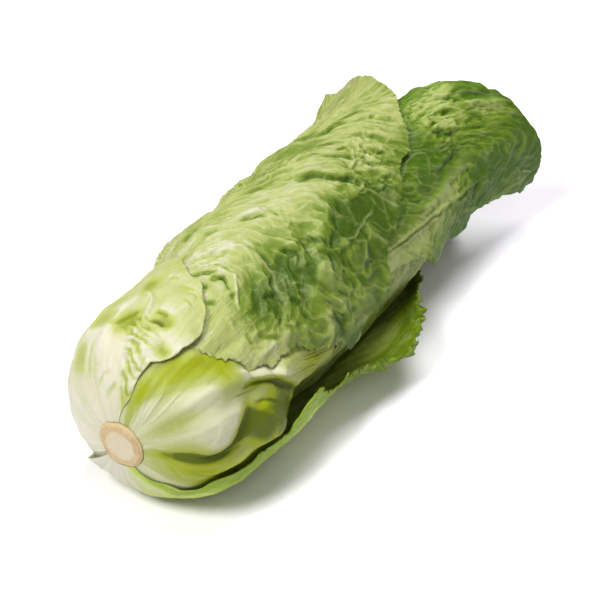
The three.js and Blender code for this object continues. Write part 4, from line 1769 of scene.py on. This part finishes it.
@dataclass
class RightBaseLeaf(Leaf):
    """The white-ribbed leaf right of the stem, with fanning veins and a folded, glossy lower lobe."""

    name: str = "right_base_leaf"
    slot: Slot = Slot.WHITE_RIB
    depth: float = 5.7
    seed: int = 51
    left: Stations = ((0, -22), (26, -4), (60, 10), (100, 20), (124, 28))
    right: Stations = (
        (0, 158), (10, 152), (18, 143), (26, 134), (34, 127), (42, 121), (50, 116), (57, 107), (63, 93), (69, 86),
        (84, 89), (100, 88), (124, 74),
    )
    lift: Stations = ((0, 3), (6, 2), (20, 0), (82, 0), (100, 2.2))
    crown: Stations = ((3, 1.2), (14, 3), (30, 1.9), (44, 0.9), (64, 0))
    left_lift: Stations = ((1, 0.8), (10, 1.5), (26, 1.5), (44, 0.8), (70, 0))
    right_lift: Stations = (
        (1, 2.4), (8, 3.9), (16, 4.7), (28, 5.6), (40, 6.6), (52, 7.4), (62, 4), (84, 2.6), (124, 0),
    )
    thickness: float = 1.1
    spacing: float = 0.7
    curl_share: float = 1.1
    tooth_height: float = 0.4
    wave_height: float = 0.5
    frill_height: float = 0.5
    wrinkling: Wrinkling = Wrinkling(
        long=0.7, ridge=0.4, thread=0.2, slit=0.3, net=0.15, fine=0.1, base_ridge=0.2, pit=0.3, streak=0.3,
    )
    tint: Stations = ((2, 0.08), (30, 0.16), (60, 0.32), (90, 0.5), (124, 0.6))
    folds: tuple[Fold, ...] = (
        Fold(((1, 38), (5, 44), (12, 47), (22, 50), (42, 56), (64, 70), (83, 83)), 8.5, 2.6, -0.14, 0),
        Fold(((34, 56), (39, 61), (46, 64), (54, 68), (60, 75), (66, 84), (74, 94)), 2.3, -4.4, 0.75),
        Fold(((31, 61), (36, 64), (43, 66), (49, 69)), 0.9, -1.2, 0.35),
        Fold(((40, 71), (44, 74), (51, 79), (57, 86)), 1, -1.4, 0.3),
        Fold(((4, 78), (6, 85), (11, 90), (17, 92), (24, 89), (30, 83), (37, 73), (42, 69)), 4.2, -6, 1.25),
        Fold(((35, 48), (42, 53), (51, 60), (60, 69), (68, 78)), 3, 1.4, -0.3, 0),
        Fold(((1.6, 24), (3, 18), (4.5, 12)), 0.8, 0.8, -0.1, 0, 0.2),
        Fold(((1.6, 30), (4, 25), (7, 21)), 0.9, 0.8, -0.1, 0, 0.2),
        Fold(((2, 35), (6, 32), (11, 29)), 1.1, 0.9, -0.1, 0, 0.2),
        Fold(((2.5, 41), (9, 39), (16, 38)), 1.3, 0.9, -0.1, 0, 0.2),
        Fold(((2, 74), (3.5, 82), (5, 92)), 0.7, -0.8, 0.2),
        Fold(((2.5, 84), (4.5, 94), (6, 104)), 0.7, -0.8, 0.2),
        Fold(((3, 96), (5, 106), (7, 116)), 0.7, -0.8, 0.2),
        Fold(((8, 104), (16, 104), (26, 100), (36, 96)), 1.6, 1.2, -0.05, 0.2),
        Fold(((12, 96), (22, 94), (34, 88)), 1.3, -1.3, 0.15),
        Fold(((46, 82), (50, 88), (52, 95)), 1.4, 0.9, -0.05),
        Fold(((41, 84), (45, 91), (46, 99)), 1.3, 0.9, -0.05),
        Fold(((52, 82), (56, 88), (57, 93)), 1.2, 0.8, -0.05),
    )
    bosses: tuple[Boss, ...] = (
        Boss(47, 93, 12, 12, 5, 0.5), Boss(38, 84, 9, 9, 0, 0.7), Boss(56, 84, 7, 10, 0, 0.45),
        Boss(15, 72, 9, 10, 3.6, -0.1), Boss(7, 86, 8, 12, 0, 0.34), Boss(8, 54, 7, 9, 0, 0.16),
        Boss(6, 14, 6, 6, 0, 0.45), Boss(14, 21, 8, 8, -0.3, 0.44), Boss(24, 30, 9, 10, -0.4, 0.44),
        # Boss(33, 54, 9, 7, 0, 0.22) below paints the rib darker, as painted shade.
        Boss(35, 41, 9, 9, -0.4, 0.46), Boss(33, 54, 9, 7, 0, 0.22), Boss(20, 104, 15, 7, 2.2, 0.34),
        Boss(26, 116, 20, 10, 0.4, 0.52), Boss(8, 104, 6, 14, 0.3, 0.28), Boss(5, 26, 4, 6, 0.4, -0.1),
        Boss(62, 92, 6, 8, -0.5, 0.4), Boss(90, 84, 14, 8, 0, 0.25),
    )


@dataclass
class BackLeaf(Leaf):
    """The leaf that closes the head on the +Y side."""

    name: str = "back_leaf"
    slot: Slot = Slot.LIGHT_GREEN
    depth: float = 5.7
    seed: int = 61
    left: Stations = ((0, -176), (40, -202), (120, -208), (220, -196), (268, -172), (292, -140))
    right: Stations = ((0, -66), (40, -52), (150, -55), (240, -62), (276, -84), (292, -112))
    lift: Stations = ((82, 0), (100, 3))
    left_lift: Stations = ((1, 4.5), (12, 4.2), (30, 0))
    spacing: float = 1.15
    tooth_height: float = 1.2
    flow: Stations = ((-300, 146), (-140, 146), (-126, 90), (-112, 34), (-60, 40), (60, 50))
    wrinkling: Wrinkling = Wrinkling(long=1.1, ridge=0.9, thread=0.4, slit=1.4, fine=0.16, vein=0.6)
    tint: Stations = ((4, 0.05), (36, 0.14), (70, 0.4), (110, 0.56), (292, 0.66))
    folds: tuple[Fold, ...] = (
        Fold(((4, -124), (40, -125), (100, -126), (180, -127), (240, -127)), 3, 1.6, -0.22, 0.2, 0.7),
        Fold(((100, -118), (120, -104), (135, -88)), 1.6, -2, 0.4),
        Fold(((150, -120), (168, -108), (186, -92)), 1.5, -2.2, 0.4),
        Fold(((200, -120), (214, -106), (226, -94)), 1.5, -2, 0.4),
        Fold(((120, -134), (134, -146), (150, -160)), 1.5, -2, 0.4),
        Fold(((176, -134), (190, -146), (206, -158)), 1.5, -2, 0.4),
        Fold(((66, -112), (80, -100), (90, -90)), 1.5, -1.8, 0.35),
    )


@dataclass
class RightLeaf(Leaf):
    """The darker leaf on the -Y side, with a pale midrib, a broad pale band of painted sheen along its middle, and a
    wide round lobe at the tip.
    """

    name: str = "right_leaf"
    slot: Slot = Slot.DEEP_GREEN
    depth: float = 7.6
    seed: int = 71
    left: Stations = (
        (0, 22), (60, 2), (120, -14), (200, -12), (240, -10), (249, -3), (256, 2), (262, 7), (268, 13), (275, 20),
        (282, 27), (288, 37), (294, 48), (298, 59), (302, 71), (305, 80), (308, 90),
    )
    right: Stations = (
        (0, 100), (60, 110), (92, 98), (128, 86), (142, 82), (150, 81), (162, 80), (172, 82), (182, 86), (190, 91),
        (198, 98), (206, 100), (214, 99), (226, 102), (236, 104), (242, 103), (250, 101), (258, 101), (266, 102),
        (277, 104), (290, 106), (300, 109), (308, 109),
    )
    lift: Stations = ((82, 0), (100, 2.2), (126, 2.2), (150, 4.8), (250, 4.8), (264, 9.6), (282, 15.5), (308, 25))
    right_lift: Stations = (
        (164, 0), (176, 1.2), (186, 2.6), (198, 5), (206, 4.6), (216, 3.4), (228, 5.5), (242, 6.5), (256, 4.5),
        (270, 3.2), (290, 4), (305, 1),
    )
    tooth_height: float = 0.6
    wave_height: float = 0.9
    tip_bulge: float = 0.6
    flow: Stations = ((-180, 28), (30, 30), (64, 34), (74, 90), (84, 146), (200, 150))
    wrinkling: Wrinkling = Wrinkling(
        long=0.45, ridge=0.2, thread=0.1, slit=0.2, net=0.5, vein=0.5, pit=1.0, pit_gap=4.4, streak=0.3,
    )
    tint: Stations = ((4, 0.05), (40, 0.2), (80, 0.6), (140, 0.86), (230, 1), (305, 1.05))
    least_tint: Stations = ((60, 0.1), (150, 0.34), (308, 0.38))
    folds: tuple[Fold, ...] = (
        Fold(
            ((146, 65), (160, 66), (175, 68), (187, 70), (199, 72), (225, 76), (240, 79), (253, 80.5), (268, 87)),
            1.1, 1.3, -0.18, 0.3, 0.8,
        ),
        Fold(((150, 68.5), (168, 70), (187, 73), (205, 76), (222, 79)), 1, 1, -0.12, 0.4, 0.6),
        # painted sheen: a broad, raised pale band along the middle of the leaf
        Fold(((190, 65), (205, 66), (215, 67), (228, 66), (242, 64), (254, 62), (268, 62)), 4.5, 1, -0.2, 0, 0.35),
        Fold(
            (
                (162, 63), (170, 60), (178, 55), (185, 50.5), (192, 45.5), (199, 41.5), (209, 37), (218, 35.5),
                (224, 38), (227, 43), (223, 48), (218, 52), (211, 60),
            ),
            0.9, 0.9, -0.14, 0.2, 0.8,
        ),
        Fold(((164, 61), (172, 57.5), (180, 52.5), (188, 48)), 2.6, 0.8, -0.14, 0, 0.5),
        Fold(((226, 54), (233, 55.5), (243, 56), (253, 54.5)), 2.1, -3.4, 0.45),
        Fold(((240, 33), (244, 37), (248, 40), (253, 43), (258, 46.5)), 2.2, -4, 0.55),
        Fold(((246, 20), (252, 26), (258, 32), (263, 40)), 1.6, -3, 0.45),
        Fold(((252, 14), (258, 20), (266, 28), (270, 38)), 1.4, -2.4, 0.35),
        Fold(((236, 18), (240, 24), (243, 30)), 1.2, -1.8, 0.3),
        Fold(((266, 40), (272, 46), (276, 54)), 1.4, -2.4, 0.4),
        Fold(((236, 43), (241, 44.5), (246, 45), (252, 46)), 0.8, 1.1, -0.2, 0.2, 0.8),
        Fold(((234, 46.5), (240, 47.5), (246, 48), (251, 49)), 0.8, 1, -0.2, 0.2, 0.8),
        Fold(((245, 56), (250, 54.5), (254, 53), (259, 54)), 0.8, 0.9, -0.15, 0.2, 0.7),
        Fold(((265, 12), (262, 17), (260, 22), (257, 28)), 0.8, 0.8, -0.15, 0.2, 0.8),
        Fold(((249, 25), (254, 26), (260, 27)), 0.8, 0.7, -0.15, 0.2, 0.7),
        Fold(((262, 26), (267, 27), (273, 28)), 1, -1.7, 0.3),
        Fold(((259, 29), (265, 31), (271, 33)), 1, -1.5, 0.25),
        Fold(((264, 34), (272, 38), (281, 44), (290, 49.5), (298, 54)), 2.8, 2.4, -0.28, 0.2, 0.3),
        Fold(((268, 29), (276, 33), (285, 40), (293, 47)), 2.6, -2.4, 0.25),
        Fold(((235, 88), (239, 90.5), (243, 93), (250, 97), (258, 100)), 0.9, 1.2, -0.2, 0.3, 0.8),
        Fold(((233, 91), (238, 94), (243, 97)), 1.6, -1.5, 0.15),
        Fold(((292, 92), (297, 96), (302, 98)), 0.8, 0.9, -0.15, 0.2, 0.7),
        Fold(((286, 88), (291, 92), (291, 97)), 0.8, 0.8, -0.15, 0.2, 0.7),
        Fold(((256, 101), (268, 101.5), (282, 100), (297, 99)), 0.8, 1.1, -0.35, 0.3, 0.9),
        Fold(((260, 103.5), (272, 103.5), (285, 102.5)), 0.8, 1, -0.35, 0.3, 0.9),
        Fold(((200, 44), (203, 50), (203, 57)), 0.8, 0.8, -0.12, 0.2, 0.6),
        Fold(((206, 42), (210, 47), (209, 54)), 0.8, 0.7, -0.12, 0.2, 0.6),
        Fold(((176, 76), (181, 80), (186, 86)), 1.2, -1.4, 0.12),
        Fold(((188, 80), (194, 83), (199, 88)), 1.1, -1.2, 0.12),
        Fold(((140, 74), (146, 76), (152, 80)), 1.4, -1.4, 0.15),
    )
    bosses: tuple[Boss, ...] = (
        Boss(248, 26, 13, 15, 0.9, -0.34, 1.6), Boss(263, 38, 15, 13, 0.9, -0.28, 1.6),
        # Boss(185, 77, ...) and Boss(236, 72, ...) paint the lower band paler, as painted sheen.
        Boss(281, 50, 11, 8, 0.6, -0.22, 1.2), Boss(266, 18, 12, 8, 0.6, -0.3, 1), Boss(185, 77, 52, 13, 0, -0.45),
        Boss(236, 72, 20, 6, 0, -0.25), Boss(284, 62, 18, 16, 0, -0.12), Boss(244, 22, 8, 7, -0.8, -0.02, 0.6),
        Boss(198, 78, 18, 9, 0.4, -0.12, 0.4), Boss(160, 72, 14, 8, 0.6, -0.16, 0.3), Boss(288, 75, 14, 14, 0.8),
        Boss(263, 80, 16, 8, 0, 0.3), Boss(286, 101, 14, 6, 0, -0.15),
    )


@dataclass
class UnderLeaf(Leaf):
    """The leaf under the head, inside the wrapper leaf."""

    name: str = "under_leaf"
    slot: Slot = Slot.LIGHT_GREEN
    depth: float = 9.5
    seed: int = 81
    left: Stations = (
        (0, 120), (60, 110), (92, 100), (128, 90), (150, 83), (200, 81), (240, 96), (262, 116), (284, 146),
    )
    right: Stations = ((0, 204), (60, 222), (200, 220), (258, 208), (284, 176))
    lift: Stations = ((82, 0), (106, 4.4))
    spacing: float = 1.3
    flow: Stations = ((-180, 146), (150, 146), (162, 90), (174, 34), (400, 40))
    wrinkling: Wrinkling = Wrinkling(ridge=0.7, thread=0.3, slit=0.8)
    tint: Stations = ((4, 0.05), (60, 0.24), (110, 0.5), (284, 0.66))
    folds: tuple[Fold, ...] = (
        Fold(((60, 165), (120, 163), (190, 162), (262, 161)), 4, 1.8, -0.25, 0.2, 0.7),
        Fold(((200, 161), (220, 146), (236, 130)), 1.4, 0.9, -0.2, 0.2, 0.7),
        Fold(((214, 162), (232, 178), (246, 194)), 1.4, 0.9, -0.2, 0.2, 0.7),
    )


@dataclass
class BackInnerLeaf(Leaf):
    """A paler leaf inside the leaves of the +Y side."""

    name: str = "back_inner_leaf"
    slot: Slot = Slot.LIGHT_GREEN
    depth: float = 9.5
    seed: int = 91
    left: Stations = ((0, -110), (60, -128), (200, -130), (252, -118), (280, -84))
    right: Stations = ((0, -34), (60, -18), (200, -18), (252, -28), (280, -56))
    lift: Stations = ((82, 0), (106, 4.4))
    spacing: float = 1.4
    wrinkling: Wrinkling = Wrinkling(ridge=0.7, thread=0.3, slit=0.8)
    tint: Stations = ((4, 0.04), (60, 0.16), (110, 0.36), (280, 0.5))


@dataclass(kw_only=True)
class HeartLeaf(Leaf):
    """One blanched leaf of the heart, smaller than the last and turned by the golden angle."""

    slot: Slot = Slot.HEART
    lift: Stations = ((82, 0), (106, 4.4))
    spacing: float = 2.4
    wave_height: float = 1.6
    frill_height: float = 1.5
    frill_length: float = 10.0
    tip_bulge: float = 5.0
    wrinkling: Wrinkling = Wrinkling(thread=0.0, slit=0.5, net=0.2, fine=0.0)
    tint: Stations = ((4, 0), (80, 0.08), (200, 0.22), (274, 0.5))


@dataclass
class Heart:
    """The blanched leaves in the middle of the head.

    foot_shares and tip_shares say how much of its half width, in degrees, a leaf has at some millimetres from the cut
    and at some millimetres back from its tip.
    """

    count: int = 10
    golden_angle: float = 137.508
    first_turn: float = 62.0
    half_width: float = 104.0
    foot_shares: Stations = ((0, 0.55), (60, 1))
    tip_shares: Stations = ((70, 1), (22, 0.8), (0, 0.3))
    first_tip: float = 274.0
    tip_step: float = 3.6
    first_depth: float = 11.4
    pitch: float = 2.9
    first_seed: int = 101

    def leaf(self, place: int) -> HeartLeaf:
        """The leaf at one place in the spiral.

        Args:
            place: its place, counted from outside.

        Returns:
            The leaf.
        """
        middle = (self.first_turn + self.golden_angle * place) % 360.0
        tip = self.first_tip - self.tip_step * place
        stations = [*self.foot_shares, *((tip - back, share) for back, share in self.tip_shares)]
        left, right = (
            tuple((distance, middle + reach * share) for distance, share in stations)
            for reach in (-self.half_width, self.half_width)
        )
        return HeartLeaf(
            name=f"heart_leaf_{place + 1:02d}",
            depth=self.first_depth + self.pitch * place,
            seed=self.first_seed + place,
            left=left,
            right=right,
        )


@dataclass(frozen=True)
class Lamp:
    """A round soft light: its place from the middle of the head and its size in metres, and its power in watts."""

    name: str
    place: Place
    size: float
    power: float

    def hang(self) -> None:
        """Hangs the light so that it shines on the middle of the head."""
        data = bpy.data.lights.new(self.name, "AREA")
        data.shape, data.size, data.energy = "DISK", self.size, self.power
        light = bpy.data.objects.new(self.name, data)
        middle = Vector((0.0, 0.0, 0.04))
        spot = middle + Vector(self.place)
        light.matrix_world = Matrix.Translation(spot) @ (spot - middle).to_track_quat("Z", "Y").to_matrix().to_4x4()
        bpy.context.scene.collection.objects.link(light)


@dataclass
class Studio:
    """A pale floor, soft lights and the camera, whose place is in millimetres."""

    camera_place: Place = (-419.876, -334.763, 524.169)
    camera_right: Place = (0.5045, -0.8634, 0.0)
    camera_up: Place = (0.5197, 0.3036, 0.7986)
    lens: float = 100.0
    sensor: float = 36.0
    floor_size: float = 6.0
    lamps: tuple[Lamp, ...] = (
        Lamp("key_light", (-1.12, 0.30, 1.45), 0.6, 32.0),
        Lamp("top_light", (0.48, 0.02, 2.00), 1.2, 37.0),
        Lamp("fill_light", (-0.70, -1.00, 1.40), 1.4, 6.0),
    )
    sky: float = 0.14
    sky_colour: tuple[float, float, float, float] = (0.96, 0.92, 1.10, 1.0)

    def build(self) -> None:
        """Places everything round the head."""
        bpy.context.scene.view_settings.view_transform = "Standard"
        self.add_camera(Vector((STEM_LOW[0], STEM_MIDDLE[1], 0.0)))
        for lamp in self.lamps:
            lamp.hang()
        self.add_sky()
        self.add_floor()

    def add_camera(self, corner: Vector) -> None:
        """Places the camera.

        Args:
            corner: the point on the floor under the middle of the cut, from which its place is counted.
        """
        right, up = Vector(self.camera_right).normalized(), Vector(self.camera_up)
        back = right.cross(up).normalized()
        up = back.cross(right)
        turn = Matrix((right, up, back)).transposed().to_4x4()
        data = bpy.data.cameras.new("camera")
        data.lens, data.sensor_width = self.lens, self.sensor
        data.clip_start, data.clip_end = 0.01, 50.0
        camera = bpy.data.objects.new("camera", data)
        camera.matrix_world = Matrix.Translation(corner + Vector(self.camera_place) * METRES) @ turn
        bpy.context.scene.collection.objects.link(camera)
        bpy.context.scene.camera = camera

    def add_sky(self) -> None:
        """Gives the room an even pale light."""
        world = bpy.data.worlds.new("room")
        world.use_nodes = True
        background = world.node_tree.nodes["Background"]
        background.inputs["Color"].default_value = self.sky_colour
        background.inputs["Strength"].default_value = self.sky
        bpy.context.scene.world = world

    def add_floor(self) -> None:
        """Lays the floor."""
        half = self.floor_size / 2.0
        corners = np.array([[-half, -half, 0.0], [half, -half, 0.0], [half, half, 0.0], [-half, half, 0.0]])
        floor = mesh_piece("floor", corners - np.array([0.0, 0.0, 0.0002]), [np.array([[0, 1, 2, 3]])], {})
        material, nodes, shader = new_material("floor_paint")
        grain = nodes.add("ShaderNodeTexNoise", {"Scale": 9.0, "Detail": 2.0})
        nodes.join(nodes.add("ShaderNodeTexCoord").outputs["Object"], grain.inputs["Vector"])
        paint = nodes.mix(grain.outputs["Fac"], linear(243, 241, 244), linear(246, 244, 247))
        nodes.dress(shader, {"Base Color": paint, "Roughness": 0.9, "Specular IOR Level": 0.1})
        floor.data.materials.append(material)


def report(piece: Piece) -> None:
    """Logs one finished piece."""
    log.info("%s: %d faces", piece.name, len(piece.data.polygons))


def main() -> None:
    """Builds the head, leaf by leaf from outside, and the studio round it."""
    logging.basicConfig(level=logging.INFO, format="%(name)s %(message)s")
    white_rib = LeafFinish(
        "white_rib_tissue", pale=linear(158, 164, 88), mid=linear(118, 130, 26), deep=linear(84, 92, 8),
        mottling=0.12, fibres=0.3, gloss=0.1,
    )
    # The right base leaf's rib finish: its rib is painted a little darker, as painted shade, and its blade has olive
    # colours of its own.
    shaded_rib = LeafFinish(
        "shaded_rib_tissue", rib=linear(182, 182, 150), pale=linear(146, 154, 78), mid=linear(136, 146, 10),
        deep=linear(80, 92, 2), mottling=0.10, fibres=0.12, gloss=0.08,
    )
    broad_green = LeafFinish(
        "broad_green_tissue", pale=linear(146, 158, 84), mid=linear(98, 122, 26), deep=linear(64, 94, 4),
        vein=linear(140, 152, 100), fibres=0.15, gloss=0.02,
    )
    outer_green = LeafFinish(
        "outer_green_tissue", pale=linear(172, 188, 84), mid=linear(122, 148, 22), deep=linear(92, 114, 10)
    )
    light_green = LeafFinish("light_green_tissue", bump=0.8, fibres=0.7)
    heart_yellow = LeafFinish(
        "heart_tissue", rib=linear(214, 210, 178), pale=linear(208, 206, 134), mid=linear(186, 188, 92),
        deep=linear(140, 154, 56),
    )
    own_finishes = {"wrapper_leaf": outer_green, "right_base_leaf": shaded_rib}
    finishes = {
        Slot.WHITE_RIB: white_rib,
        Slot.DEEP_GREEN: broad_green,
        Slot.LIGHT_GREEN: light_green,
        Slot.HEART: heart_yellow,
    }
    report(StemCore().build(StemFinish()))
    leaves: list[Leaf] = [
        WrapperLeaf(),
        LeftBaseLeaf(),
        CrownLeaf(),
        RightBaseLeaf(),
        BackLeaf(),
        RightLeaf(),
        UnderLeaf(),
        BackInnerLeaf(),
    ]
    heart = Heart()
    leaves += [heart.leaf(place) for place in range(heart.count)]
    for index, leaf in enumerate(leaves):
        report(leaf.build(leaves[:index], own_finishes.get(leaf.name, finishes[leaf.slot])))
    Studio().build()


if __name__ == "__main__":
    main()
    bpy.context.view_layer.update()
